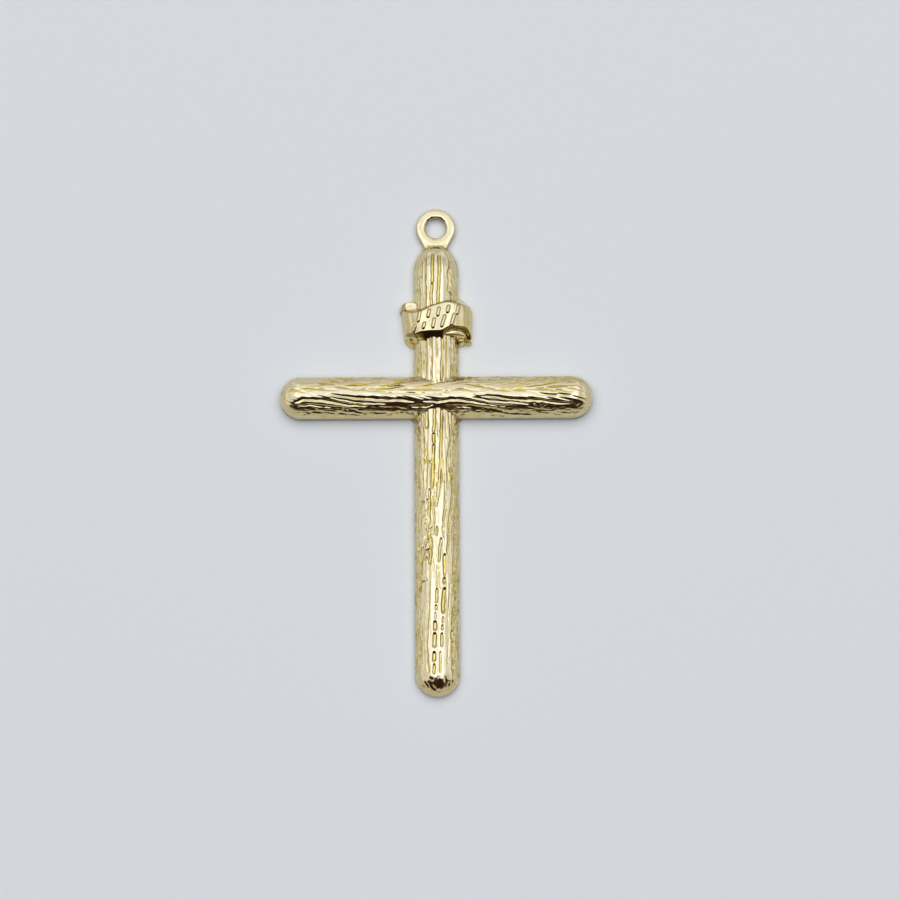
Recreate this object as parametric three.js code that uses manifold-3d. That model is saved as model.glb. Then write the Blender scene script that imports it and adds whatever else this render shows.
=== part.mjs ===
// A cross pendant of gilt brass, die-struck in one piece from sheet: an upright and a crossbar shaped as
// half-round logs with a wood grain, a small rolled scroll across the upright and a flat hanging ring.
// The back is the hollow that the punch leaves. Millimetres, +Z out of the front, +Y towards the ring,
// origin under the middle of the whole piece, on the surface that it lies on.
import * as THREE from "three";
import { mergeVertices } from "three/addons/utils/BufferGeometryUtils.js";
import Module from "manifold-3d";

const wasm = await Module();
wasm.setup();

// Driving dimensions
const OVERALL_LENGTH = 42;
const SPAN = 26.4;
const UPRIGHT_WIDTH = 3.76;
const CROSSBAR_WIDTH = 3.58;
const TRIMMED_EDGE = 0.2; // straight edge that the trimming die leaves round the upright
const CROSSBAR_RISE = 0.4; // how far the crossbar's crown stands above the upright's
const CROSSBAR_FROM_FOOT = 25.53; // foot to the crossbar's middle line
const SHEET = 0.7; // metal left between the front and the hollow, at the crown
const RIM_WIDTH = 0.55; // flat rim round the hollow
const CORNER_FILLET = 0.45; // in the four inner corners of the outline
const CORNER_HEIGHT = 0.55;
const RING_OUTER = 3.3;
const RING_HOLE = 1.9;
const RING_THICKNESS = 0.8;
const RING_BEVEL = 0.12;
const NECK_WIDTH = 1.95;
const NECK_TAPER = THREE.MathUtils.degToRad(28); // lean of the straight sides that run from ring to neck

// Sizes worked out from them
const UPRIGHT_RADIUS = UPRIGHT_WIDTH / 2;
const CROSSBAR_RADIUS = CROSSBAR_WIDTH / 2;
const FOOT_Y = -OVERALL_LENGTH / 2;
const CROSSBAR_Y = FOOT_Y + CROSSBAR_FROM_FOOT;
const RING_Y = OVERALL_LENGTH / 2 - RING_OUTER / 2;
const RING_OVERLAP = 0.22; // how far the ring's circle reaches over the upright's rounded end
const UPRIGHT_LENGTH = RING_Y - RING_OUTER / 2 + RING_OVERLAP - FOOT_Y;
const UPRIGHT_Y = FOOT_Y + UPRIGHT_LENGTH / 2;
const UPRIGHT_CROWN = TRIMMED_EDGE + UPRIGHT_RADIUS;
const CROSSBAR_EDGE = UPRIGHT_CROWN + CROSSBAR_RISE - CROSSBAR_RADIUS;

// Wood grain
const GROOVE = { width: 0.3, depth: 0.12 };
const UPRIGHT_LANES = 12; // grooves side by side round the upright
const LANE_SPACING = THREE.MathUtils.degToRad(13.7);
const LANE_WANDER = THREE.MathUtils.degToRad(3);
const PIT = { width: 0.42, depth: 0.15 }; // the wide, short gouges on the crown near the foot
const PIT_LANES = [5, 6];
const PIT_ANGLES = [-8, 13].map(THREE.MathUtils.degToRad);
const PITS_FROM_FOOT = [2.2, 11]; // where they begin and end
const PIT_LENGTHS = [0.5, 1.9];
const GROOVE_LENGTHS = [1.2, 6.5];
const GRAIN_GAPS = [0.5, 0.7]; // between one gouge and the next in its lane
const GRAIN_STARTS = [0.3, 1.2]; // from the foot
const BARE_END = 0.6; // left free of grain below the ring
const WALL_STEEPNESS = 1.6; // how soon a gouge reaches its full depth, from its edge
const GRAIN_REPEAT = 12.1; // the crossbar's pattern comes again after this length
// The gouges of one repeat of the crossbar: where each starts along the bar and how long it is, then the
// angle round the bar at its two ends, in degrees, with the foot's side positive.
const CROSSBAR_GOUGES = [
  [1.3, 5.0, 15, 29],
  [2.5, 4.7, 27, 58],
  [3.9, 9.8, -1, 13],
  [4.3, 4.5, 8, 26],
  [4.5, 2.3, 50, 64],
  [7.3, 2.2, 54, 60],
  [8.8, 3.0, 27, 38],
  [2.2, 2.5, -16, -7],
  [3.4, 4.5, -35, -7],
  [7.9, 3.4, -7, -44],
  [7.9, 5.9, -7, 3],
  [9.5, 4.5, -14, -10],
  [12.2, 3.0, -26, -72],
];

// Scroll
const SCROLL_FROM_FOOT = 32.13;
const SCROLL_TURN = THREE.MathUtils.degToRad(6); // rises to the right
const SCROLL_REACH = 2.95; // half its span
const SCROLL_BAND = 2.2; // height of the ribbon
const SCROLL_PROUD = 0.36; // above the upright's crown
const SCROLL_BEVEL = 0.1;
const SCROLL_SQUARENESS = 2.5; // superellipse power of the ribbon's arch
const ROLL_RADIUS = 0.68;
const ROLL_X = SCROLL_REACH - ROLL_RADIUS;
const LEFT_ROLL_PROUD = 0.45; // how far the left roll looks out above the ribbon's edge
const RIGHT_ROLL_PROUD = 1; // and the right one below it
const ROLL_END_BULGE = 0.7; // of a ball's
const MOUTH = { scale: 0.72, past: 0.42, height: 0.52 }; // the dish in a roll's end
const TAIL = { halfSizes: [1.15, 0.95, 1.05], x: 1.62, height: 0.35 };
const STROKE_WIDTH = 0.26;
const STROKE_PROUD = 0.1;
const STROKE_LEAN = THREE.MathUtils.degToRad(24);
const STROKE_ROWS = [-0.46, 0.46];
const STROKES_IN_ROW = 6;
const STROKE_SPACING = 0.62;
const STROKE_LENGTHS = [0.5, 0.8];
const STROKE_THICKNESS = 0.5; // most of it sunk in the ribbon
const ROW_SHIFT = 0.2; // of one row against the other

// Fineness of the facets
const LOG_COLUMNS = 32;
const STATION_STEP = 0.88;
const END_ROWS = 5;
const HOLLOW_COLUMNS = 10;

// A closed three.js geometry as a solid that can be joined and cut.
function solidOf(geometry) {
  const bare = new THREE.BufferGeometry();
  bare.setAttribute("position", geometry.getAttribute("position"));
  bare.setIndex(geometry.getIndex());
  const merged = mergeVertices(bare, 1e-4);
  const triVerts = new Uint32Array(merged.index.array);
  const vertProperties = merged.attributes.position.array;
  return new wasm.Manifold(new wasm.Mesh({ numProp: 3, vertProperties, triVerts }));
}

function geometryOf(solid) {
  const { vertProperties, triVerts } = solid.getMesh();
  const geometry = new THREE.BufferGeometry();
  geometry.setAttribute("position", new THREE.BufferAttribute(vertProperties, 3));
  geometry.setIndex(new THREE.BufferAttribute(triVerts, 1));
  geometry.computeVertexNormals();
  return geometry;
}

// A repeatable number from 0 to 1 for each seed.
function chance(seed) {
  const value = Math.sin(seed * 12.9898) * 43758.5453;
  return value - Math.floor(value);
}

function between(low, high, seed) {
  return low + (high - low) * chance(seed);
}

// The upright's grain: lanes of grooves along the log, each lane broken into gouges of uneven length.
function uprightGouges() {
  const gouges = [];
  const [pitsStart, pitsEnd] = PITS_FROM_FOOT;
  for (let lane = 0; lane < UPRIGHT_LANES; lane++) {
    const laneAngle = (lane - (UPRIGHT_LANES - 1) / 2) * LANE_SPACING;
    const pitColumn = PIT_LANES.indexOf(lane);
    let start = pitColumn < 0 ? between(...GRAIN_STARTS, lane + 1) : pitsStart;
    for (let n = 0; start < UPRIGHT_LENGTH - BARE_END; n++) {
      const seed = 10 * (lane + 1) + 7.3 * n;
      const pit = pitColumn >= 0 && start < pitsEnd;
      const length = between(...(pit ? PIT_LENGTHS : GROOVE_LENGTHS), seed);
      const angle = pit ? PIT_ANGLES[pitColumn] : laneAngle;
      const from = angle + between(-LANE_WANDER, LANE_WANDER, seed + 1);
      const to = angle + between(-LANE_WANDER, LANE_WANDER, seed + 2);
      gouges.push({ start, length, from, to, ...(pit ? PIT : GROOVE) });
      start += length + between(...GRAIN_GAPS, seed + 3);
    }
  }
  return gouges;
}

// The crossbar's grain: the same gouges again and again, sweeping away from the crown.
function crossbarGouges() {
  const gouges = [];
  for (let shift = -GRAIN_REPEAT; shift < SPAN; shift += GRAIN_REPEAT) {
    for (const [start, length, fromDegrees, toDegrees] of CROSSBAR_GOUGES) {
      const from = THREE.MathUtils.degToRad(fromDegrees);
      const to = THREE.MathUtils.degToRad(toDegrees);
      gouges.push({ start: start + shift, length, from, to, ...GROOVE });
    }
  }
  return gouges;
}

// Depth of the grain at a place along a log and an angle round it: the deepest gouge that reaches there.
function grainDepth(gouges, radius, along, angle) {
  let depth = 0;
  for (const { start, length, from, to, width, depth: deepest } of gouges) {
    const share = THREE.MathUtils.clamp((along - start) / length, 0, 1);
    const past = along - (start + share * length);
    const across = radius * (angle - THREE.MathUtils.lerp(from, to, share));
    const nearness = 1 - Math.hypot(past, across) / (width / 2);
    if (nearness > 0) depth = Math.max(depth, deepest * Math.min(1, WALL_STEEPNESS * nearness));
  }
  return depth;
}

// The rows of points from one end of a log to the other: how far along, and the slope of its round end.
function logRows(length, radius) {
  const rows = [];
  for (let k = 1; k <= END_ROWS; k++) {
    const slope = (Math.PI / 2) * (k / END_ROWS);
    rows.push({ along: radius * (1 - Math.cos(slope)), slope });
  }
  const straight = length - 2 * radius;
  const stations = Math.round(straight / STATION_STEP);
  for (let k = 1; k < stations; k++) {
    rows.push({ along: radius + (straight * k) / stations, slope: Math.PI / 2 });
  }
  const nearEnd = rows.slice(0, END_ROWS);
  const mirror = ({ along, slope }) => ({ along: length - along, slope: Math.PI - slope });
  const farEnd = nearEnd.reverse().map(mirror);
  return rows.concat(farEnd);
}

// A half-round log along Y, centred, with rounded ends, on a straight edge of its own. Its rows of points
// close on one point at each end, and a flat underside closes it below.
function logGeometry({ length, radius, edge, columns, gouges }) {
  const rows = logRows(length, radius);
  const points = [];
  const faces = [];
  const quad = (a, b, c, d) => faces.push(a, b, c, a, c, d);
  const place = (x, along, z) => {
    points.push(x, along - length / 2, z);
    return points.length / 3 - 1;
  };

  const nearTip = place(0, 0, edge);
  const nearTipBelow = place(0, 0, 0);
  const farTip = place(0, length, edge);
  const farTipBelow = place(0, length, 0);
  const grid = rows.map(({ along, slope }) => {
    const top = [];
    for (let i = 0; i <= columns; i++) {
      const angle = Math.PI * (i / columns - 0.5);
      const atRim = i === 0 || i === columns;
      const fade = atRim ? 0 : Math.sin(slope); // the grain runs out over the round ends
      const depth = fade * grainDepth(gouges, radius, along, angle);
      const reach = (radius - depth) * Math.sin(slope);
      const pushedIn = along + depth * Math.cos(slope);
      top.push(place(reach * Math.sin(angle), pushedIn, edge + reach * Math.cos(angle)));
    }
    const reach = radius * Math.sin(slope);
    return { top, left: place(-reach, along, 0), right: place(reach, along, 0) };
  });

  grid.forEach((row, j) => {
    const next = grid[j + 1];
    if (!next) return;
    for (let i = 0; i < columns; i++) quad(row.top[i], row.top[i + 1], next.top[i + 1], next.top[i]);
    quad(row.top[0], next.top[0], next.left, row.left);
    quad(row.right, next.right, next.top[columns], row.top[columns]);
    quad(row.left, next.left, next.right, row.right);
  });
  const [first, last] = [grid[0], grid[grid.length - 1]];
  for (let i = 0; i < columns; i++) {
    faces.push(nearTip, first.top[i + 1], first.top[i]);
    faces.push(farTip, last.top[i], last.top[i + 1]);
  }
  quad(nearTip, first.top[0], first.left, nearTipBelow);
  quad(nearTipBelow, first.right, first.top[columns], nearTip);
  quad(last.top[0], farTip, farTipBelow, last.left);
  quad(last.right, farTipBelow, farTip, last.top[columns]);
  faces.push(nearTipBelow, first.left, first.right, farTipBelow, last.right, last.left);

  const geometry = new THREE.BufferGeometry();
  geometry.setAttribute("position", new THREE.Float32BufferAttribute(points, 3));
  geometry.setIndex(faces);
  return geometry;
}

const logs = [
  {
    length: UPRIGHT_LENGTH,
    radius: UPRIGHT_RADIUS,
    edge: TRIMMED_EDGE,
    gouges: uprightGouges(),
    lay: (geometry) => geometry.translate(0, UPRIGHT_Y, 0),
  },
  {
    length: SPAN,
    radius: CROSSBAR_RADIUS,
    edge: CROSSBAR_EDGE,
    gouges: crossbarGouges(),
    lay: (geometry) => geometry.rotateZ(-Math.PI / 2).translate(0, CROSSBAR_Y, 0),
  },
];

function logSolid(log) {
  return solidOf(log.lay(logGeometry({ ...log, columns: LOG_COLUMNS })));
}

// The hollow that the punch leaves behind a log: a smooth, smaller log that comes out at the back.
function hollowSolid(log) {
  const cutDepth = 1; // how far the cut starts below the back
  const edge = cutDepth + log.edge + RIM_WIDTH - SHEET;
  const length = log.length - 2 * RIM_WIDTH;
  const radius = log.radius - RIM_WIDTH;
  const geometry = logGeometry({ length, radius, edge, columns: HOLLOW_COLUMNS, gouges: [] });
  return solidOf(log.lay(geometry).translate(0, 0, -cutDepth));
}

// The small web that rounds each inner corner of the outline.
function cornerSolid(sideX, sideY) {
  const overlap = 0.3;
  const x = UPRIGHT_RADIUS - overlap;
  const y = CROSSBAR_RADIUS - overlap;
  const reach = CORNER_FILLET + overlap;
  const outline = new THREE.Shape();
  outline.moveTo(0, 0);
  outline.lineTo(reach, 0);
  outline.lineTo(reach, overlap);
  outline.absarc(reach, reach, CORNER_FILLET, -Math.PI / 2, -Math.PI, true);
  outline.lineTo(0, reach);
  const geometry = new THREE.ExtrudeGeometry(outline, {
    depth: CORNER_HEIGHT,
    bevelEnabled: false,
    curveSegments: 5,
  });
  geometry.rotateZ(Math.atan2(sideY, sideX) - Math.PI / 4);
  return solidOf(geometry.translate(sideX * x, CROSSBAR_Y + sideY * y, 0));
}

// The flat ring and the neck that joins it to the upright's rounded end.
function ringSolid() {
  const outer = RING_OUTER / 2 - RING_BEVEL;
  const halfNeck = NECK_WIDTH / 2 - RING_BEVEL;
  const shoulder = outer * Math.cos(NECK_TAPER); // half the width where the straight sides leave the circle
  const neckTop = -outer * Math.sin(NECK_TAPER) - (shoulder - halfNeck) / Math.tan(NECK_TAPER);
  const neckFoot = neckTop - UPRIGHT_RADIUS / 2;
  const outline = new THREE.Shape();
  outline.absarc(0, 0, outer, -NECK_TAPER, Math.PI + NECK_TAPER, false);
  outline.lineTo(-halfNeck, neckTop);
  outline.lineTo(-halfNeck, neckFoot);
  outline.lineTo(halfNeck, neckFoot);
  outline.lineTo(halfNeck, neckTop);
  const hole = new THREE.Path();
  hole.absarc(0, 0, RING_HOLE / 2 + RING_BEVEL, 0, 2 * Math.PI, true);
  outline.holes.push(hole);
  const geometry = new THREE.ExtrudeGeometry(outline, {
    depth: RING_THICKNESS - 2 * RING_BEVEL,
    bevelThickness: RING_BEVEL,
    bevelSize: RING_BEVEL,
    bevelSegments: 1,
    curveSegments: 14,
  });
  return solidOf(geometry.translate(0, RING_Y, RING_BEVEL));
}

const SCROLL_TOP = UPRIGHT_CROWN + SCROLL_PROUD;

// Height of the ribbon's arch at a distance from the middle of the upright.
function archHeight(x) {
  const share = Math.min(1, Math.abs(x) / SCROLL_REACH);
  return SCROLL_TOP * (1 - share ** SCROLL_SQUARENESS) ** (1 / SCROLL_SQUARENESS);
}

function ribbonGeometry() {
  const steps = 22;
  const reach = SCROLL_REACH - SCROLL_BEVEL;
  const outline = new THREE.Shape();
  outline.moveTo(-reach, SCROLL_BEVEL);
  for (let k = 1; k < steps; k++) {
    const x = -reach * Math.cos((Math.PI * k) / steps);
    outline.lineTo(x, archHeight((x * SCROLL_REACH) / reach) - SCROLL_BEVEL);
  }
  outline.lineTo(reach, SCROLL_BEVEL);
  const depth = SCROLL_BAND - 2 * SCROLL_BEVEL;
  const geometry = new THREE.ExtrudeGeometry(outline, {
    depth,
    bevelThickness: SCROLL_BEVEL,
    bevelSize: SCROLL_BEVEL,
    bevelSegments: 1,
  });
  return geometry.translate(0, 0, -depth / 2).rotateX(Math.PI / 2);
}

// A rolled end of the ribbon: a short bar beside the upright that looks out past one edge of the ribbon.
// side is -1 for the left end, which looks out above, and 1 for the right end, which looks out below.
function rollSolid(side) {
  const length = SCROLL_BAND / 2 + (side < 0 ? LEFT_ROLL_PROUD : RIGHT_ROLL_PROUD);
  const bar = new THREE.CylinderGeometry(ROLL_RADIUS, ROLL_RADIUS, length, 14);
  const end = new THREE.SphereGeometry(ROLL_RADIUS, 14, 7);
  const cut = new THREE.SphereGeometry(ROLL_RADIUS, 12, 7);
  const outward = -side;
  const middle = (outward * length) / 2;
  const tip = outward * length;
  bar.translate(0, middle, 0);
  end.scale(1, ROLL_END_BULGE, 1).translate(0, tip, 0);
  cut.scale(MOUTH.scale, MOUTH.scale, MOUTH.scale);
  cut.translate(0, tip + outward * MOUTH.past, MOUTH.height);
  const roll = solidOf(bar).add(solidOf(end)).subtract(solidOf(cut));
  return roll.translate(side * ROLL_X, 0, ROLL_RADIUS);
}

// The tail that runs from a roll back to the upright on the other edge of the ribbon.
function tailSolid(side) {
  const tail = new THREE.SphereGeometry(1, 14, 9);
  tail.scale(...TAIL.halfSizes).translate(side * TAIL.x, (side * SCROLL_BAND) / 2, TAIL.height);
  return solidOf(tail);
}

// Two rows of short leaning strokes, raised on the ribbon.
function strokeSolids() {
  const solids = [];
  for (const [row, rowY] of STROKE_ROWS.entries()) {
    for (let n = 0; n < STROKES_IN_ROW; n++) {
      const x = (n - (STROKES_IN_ROW - 1) / 2) * STROKE_SPACING + (row - 0.5) * ROW_SHIFT;
      const step = 0.05;
      const slope = Math.atan2(archHeight(x - step) - archHeight(x + step), 2 * step);
      const length = between(...STROKE_LENGTHS, 31 * row + n);
      const stroke = new THREE.BoxGeometry(STROKE_WIDTH, length, STROKE_THICKNESS);
      stroke.rotateZ(-STROKE_LEAN).translate(0, 0, STROKE_PROUD - STROKE_THICKNESS / 2);
      stroke.rotateY(slope).translate(x, rowY, archHeight(x));
      solids.push(solidOf(stroke));
    }
  }
  return solids;
}

function scrollSolid() {
  const floor = new THREE.BoxGeometry(4 * SCROLL_REACH, 4 * SCROLL_REACH, 4).translate(0, 0, -2);
  let scroll = solidOf(ribbonGeometry());
  const details = [rollSolid(-1), rollSolid(1), tailSolid(-1), ...strokeSolids()];
  for (const detail of details) scroll = scroll.add(detail);
  const turned = scroll.subtract(solidOf(floor)).rotate([0, 0, THREE.MathUtils.radToDeg(SCROLL_TURN)]);
  return turned.translate(0, FOOT_Y + SCROLL_FROM_FOOT, 0);
}

function crossSolid() {
  let cross = logs.map(logSolid).reduce((joined, log) => joined.add(log));
  for (const sideX of [-1, 1]) {
    for (const sideY of [-1, 1]) cross = cross.add(cornerSolid(sideX, sideY));
  }
  cross = cross.add(scrollSolid()).add(ringSolid());
  for (const log of logs) cross = cross.subtract(hollowSolid(log));
  return cross;
}

const gilt = new THREE.MeshStandardMaterial({ color: 0xe2c47c, metalness: 1, roughness: 0.22 });

const pendant = new THREE.Group();
const cross = new THREE.Mesh(geometryOf(crossSolid()), gilt);
cross.name = "cross";
pendant.add(cross);

export default pendant;
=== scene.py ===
# %% [markdown]
# # A gilt cross pendant, struck to look like wood
#
# The real thing is a small piece of jewellery: sheet brass, struck between two dies into a cross of
# half-round logs, with a scroll across the upright and a flat ring to hang it by, then gilded. A die
# presses every part of the front at once, so this lesson also ends with a single piece. The parts are
# shaped one after another in millimetres, joined, hollowed from behind and then shrunk to metres.

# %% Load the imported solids
import math

import bpy
import numpy as np
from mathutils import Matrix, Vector, noise


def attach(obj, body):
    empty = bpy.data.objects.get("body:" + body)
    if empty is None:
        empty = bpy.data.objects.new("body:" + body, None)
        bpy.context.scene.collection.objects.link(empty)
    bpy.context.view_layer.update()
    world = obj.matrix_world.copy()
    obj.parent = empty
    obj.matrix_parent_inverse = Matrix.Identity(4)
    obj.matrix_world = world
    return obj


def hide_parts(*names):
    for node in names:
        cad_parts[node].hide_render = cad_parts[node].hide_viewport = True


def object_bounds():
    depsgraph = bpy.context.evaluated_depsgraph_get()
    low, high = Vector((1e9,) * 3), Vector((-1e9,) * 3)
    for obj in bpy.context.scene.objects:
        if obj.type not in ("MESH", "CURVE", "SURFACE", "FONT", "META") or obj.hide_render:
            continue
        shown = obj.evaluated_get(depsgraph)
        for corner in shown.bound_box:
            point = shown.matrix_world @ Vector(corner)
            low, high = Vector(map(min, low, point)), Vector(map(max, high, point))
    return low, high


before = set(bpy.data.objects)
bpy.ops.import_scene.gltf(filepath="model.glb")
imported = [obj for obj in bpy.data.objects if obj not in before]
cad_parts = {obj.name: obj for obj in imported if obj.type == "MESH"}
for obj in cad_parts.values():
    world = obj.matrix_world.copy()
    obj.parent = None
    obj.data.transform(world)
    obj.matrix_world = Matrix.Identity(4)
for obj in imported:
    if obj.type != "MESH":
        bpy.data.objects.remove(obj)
CAD_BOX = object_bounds()

# %% [markdown]
# ## Small helpers
#
# An operator works on whatever is selected, and the loaded solids are selected at the start. So each step
# begins by selecting nothing, and a piece is made the only selected one before it is worked on.

# %% Selecting and cutting helpers
TINY = 1e-12  # keeps a division by a length from failing
NEAR = 1e-4  # what is closer than this is in one place


def select_nothing():
    bpy.ops.object.select_all(action="DESELECT")


def select_only(piece):
    select_nothing()
    piece.select_set(True)
    bpy.context.view_layer.objects.active = piece


def points_of(piece):
    flat = np.empty(3 * len(piece.data.vertices))
    piece.data.vertices.foreach_get("co", flat)
    return flat.reshape(-1, 3)


def move_points(piece, points):
    piece.data.vertices.foreach_set("co", points.ravel())
    piece.data.update()


def apply_modifier(piece, kind, **settings):
    select_only(piece)
    modifier = piece.modifiers.new(kind.lower(), kind)
    for name, value in settings.items():
        setattr(modifier, name, value)
    bpy.ops.object.modifier_apply(modifier=modifier.name)


def combine(piece, other, operation):
    """Join another solid to a piece, or cut it away, and throw the other one out."""
    apply_modifier(piece, "BOOLEAN", operation=operation, object=other, solver="MANIFOLD")
    bpy.data.objects.remove(other)


def settle(piece):
    """Put a piece's place, turn and scale into its mesh."""
    select_only(piece)
    bpy.ops.object.transform_apply(location=True, rotation=True, scale=True)


select_nothing()
print("selected", len(bpy.context.selected_objects))

# %% [markdown]
# ## Sizes
#
# These are the driving sizes of the solids, in millimetres. The length, the span and the rise of the
# crossbar decide the proportions, and everything else is placed from the foot of the cross. The length
# and the span are read from the loaded solids, so that the two can't drift apart.

# %% Sizes in millimetres
MM = 0.001  # in metres
SPAN, OVERALL_LENGTH = (round((CAD_BOX[1][k] - CAD_BOX[0][k]) / MM, 2) for k in (0, 1))
UPRIGHT_RADIUS = 1.88
CROSSBAR_RADIUS = 1.79
TRIMMED_EDGE = 0.2
CROSSBAR_EDGE = 0.69
CROSSBAR_FROM_FOOT = 25.53
UPRIGHT_LENGTH = 38.92
SCROLL_FROM_FOOT = 32.13
FOOT_Y = -OVERALL_LENGTH / 2
UPRIGHT_Y = FOOT_Y + UPRIGHT_LENGTH / 2
CROSSBAR_Y = FOOT_Y + CROSSBAR_FROM_FOOT
SCROLL_Y = FOOT_Y + SCROLL_FROM_FOOT
print("span", SPAN, "length", OVERALL_LENGTH)
print("crossbar at y", round(CROSSBAR_Y, 2), "scroll at y", round(SCROLL_Y, 2))

# %% [markdown]
# ## A half-round log
#
# Each bar is half of a round log with ball-shaped ends. It starts as a ball: half of the ball is cut off,
# the open rim is pulled out to the middle of the log, the long edges are divided into stations for the
# carving, and a mirror gives the other half. Then the log is cut along its length, the cut is lowered by the
# straight edge that the trimming die leaves, the back edge is rounded as tumbling rounds it, and the
# underside is closed.

# %% Half a ball and its stations
END_ROWS = 22
SAME_LENGTH = 0.01


def half_ball(name, radius, straight, columns):
    """Half of a ball at one end of a log, with its open rim pulled out to the log's middle."""
    select_nothing()
    bpy.ops.mesh.primitive_uv_sphere_add(
        segments=2 * columns,
        ring_count=2 * END_ROWS,
        radius=radius,
        location=(0, -straight / 2, 0),
        rotation=(math.pi / 2, 0, 0),
    )
    log = bpy.context.object
    log.name = name
    settle(log)
    bpy.ops.object.mode_set(mode="EDIT")
    bpy.ops.mesh.select_mode(type="EDGE")
    bpy.ops.mesh.select_all(action="SELECT")
    bpy.ops.mesh.bisect(plane_co=(0, -straight / 2, 0), plane_no=(0, 1, 0), clear_outer=True)
    bpy.ops.mesh.select_all(action="DESELECT")
    bpy.ops.mesh.select_non_manifold()
    bpy.ops.mesh.extrude_edges_move(TRANSFORM_OT_translate={"value": (0, straight / 2, 0)})
    bpy.ops.mesh.select_all(action="DESELECT")
    bpy.ops.object.mode_set(mode="OBJECT")
    return log


def divide_long_edges(log, edge_length, station_step):
    """Cut the edges of the straight stretch into stations."""
    points = log.data.vertices
    for edge in log.data.edges:
        start, end = (points[i].co for i in edge.vertices)
        edge.select = abs((start - end).length - edge_length) < SAME_LENGTH
    bpy.ops.object.mode_set(mode="EDIT")
    cuts = round(edge_length / station_step) - 1
    bpy.ops.mesh.subdivide_edgering(number_cuts=cuts, interpolation="LINEAR", smoothness=0)
    bpy.ops.object.mode_set(mode="OBJECT")


print("rows on a log's round end", END_ROWS)

# %% Log blanks
COLUMNS = 116  # round the half log
STATION_STEP = 0.1  # along it, in millimetres
BACK_ROUNDING = 0.15
BACK_STEPS = 4
RIM_STEP = 0.04  # a row close under the carved front keeps the trimmed edge smooth


def close_underside(log, edge):
    """Cut a log along its length, raise it onto its straight edge and close it below."""
    select_only(log)
    bpy.ops.object.mode_set(mode="EDIT")
    bpy.ops.mesh.select_all(action="SELECT")
    bpy.ops.mesh.bisect(plane_co=(0, 0, 0), plane_no=(0, 0, 1), clear_inner=True)
    bpy.ops.mesh.select_all(action="SELECT")
    bpy.ops.transform.translate(value=(0, 0, edge))
    bpy.ops.mesh.select_all(action="DESELECT")
    bpy.ops.mesh.select_non_manifold()
    turns = [math.pi / 2 * k / BACK_STEPS for k in range(BACK_STEPS + 1)]
    wall = [edge, edge - RIM_STEP] + [BACK_ROUNDING * (1 - math.sin(turn)) for turn in turns]
    for higher, lower in zip(wall, wall[1:]):
        bpy.ops.mesh.extrude_edges_move(TRANSFORM_OT_translate={"value": (0, 0, lower - higher)})
    bpy.ops.mesh.edge_face_add()
    bpy.ops.mesh.select_all(action="SELECT")
    bpy.ops.mesh.normals_make_consistent(inside=False)
    bpy.ops.object.mode_set(mode="OBJECT")


def round_back_edge(log, half_straight):
    """Draw the lowest rows in towards the log's middle line, in a quarter circle."""
    points = points_of(log)
    lowness = np.clip(1 - points[:, 2] / BACK_ROUNDING, 0, 1)
    inset = BACK_ROUNDING * (1 - np.sqrt(1 - lowness**2))
    inward = -points[:, :2]
    inward[:, 1] += np.clip(points[:, 1], -half_straight, half_straight)
    inward /= np.maximum(np.linalg.norm(inward, axis=1, keepdims=True), TINY)
    points[:, :2] += inward * inset[:, None]
    move_points(log, points)


def log_blank(name, length, radius, edge, columns=COLUMNS, station_step=STATION_STEP):
    straight = length - 2 * radius
    log = half_ball(name, radius, straight, columns)
    divide_long_edges(log, straight / 2, station_step)
    apply_modifier(log, "MIRROR", use_axis=(False, True, False), merge_threshold=NEAR)
    close_underside(log, edge)
    round_back_edge(log, straight / 2)
    return log


upright = log_blank("upright", UPRIGHT_LENGTH, UPRIGHT_RADIUS, TRIMMED_EDGE)
crossbar = log_blank("crossbar", SPAN, CROSSBAR_RADIUS, CROSSBAR_EDGE)
print("upright points", len(upright.data.vertices), "crossbar points", len(crossbar.data.vertices))

# %% [markdown]
# ## The wood grain
#
# The die-sinker cut the grain with gravers: long grooves that drift along the upright, short flat-bottomed
# pits in two columns near its foot, and on the crossbar sweeping gouges that run out to a point at both
# ends. Each groove is a line over the log, given by places along it and angles round it. Grooves this
# irregular are listed one by one, because a rule would make them look machined.

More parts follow.
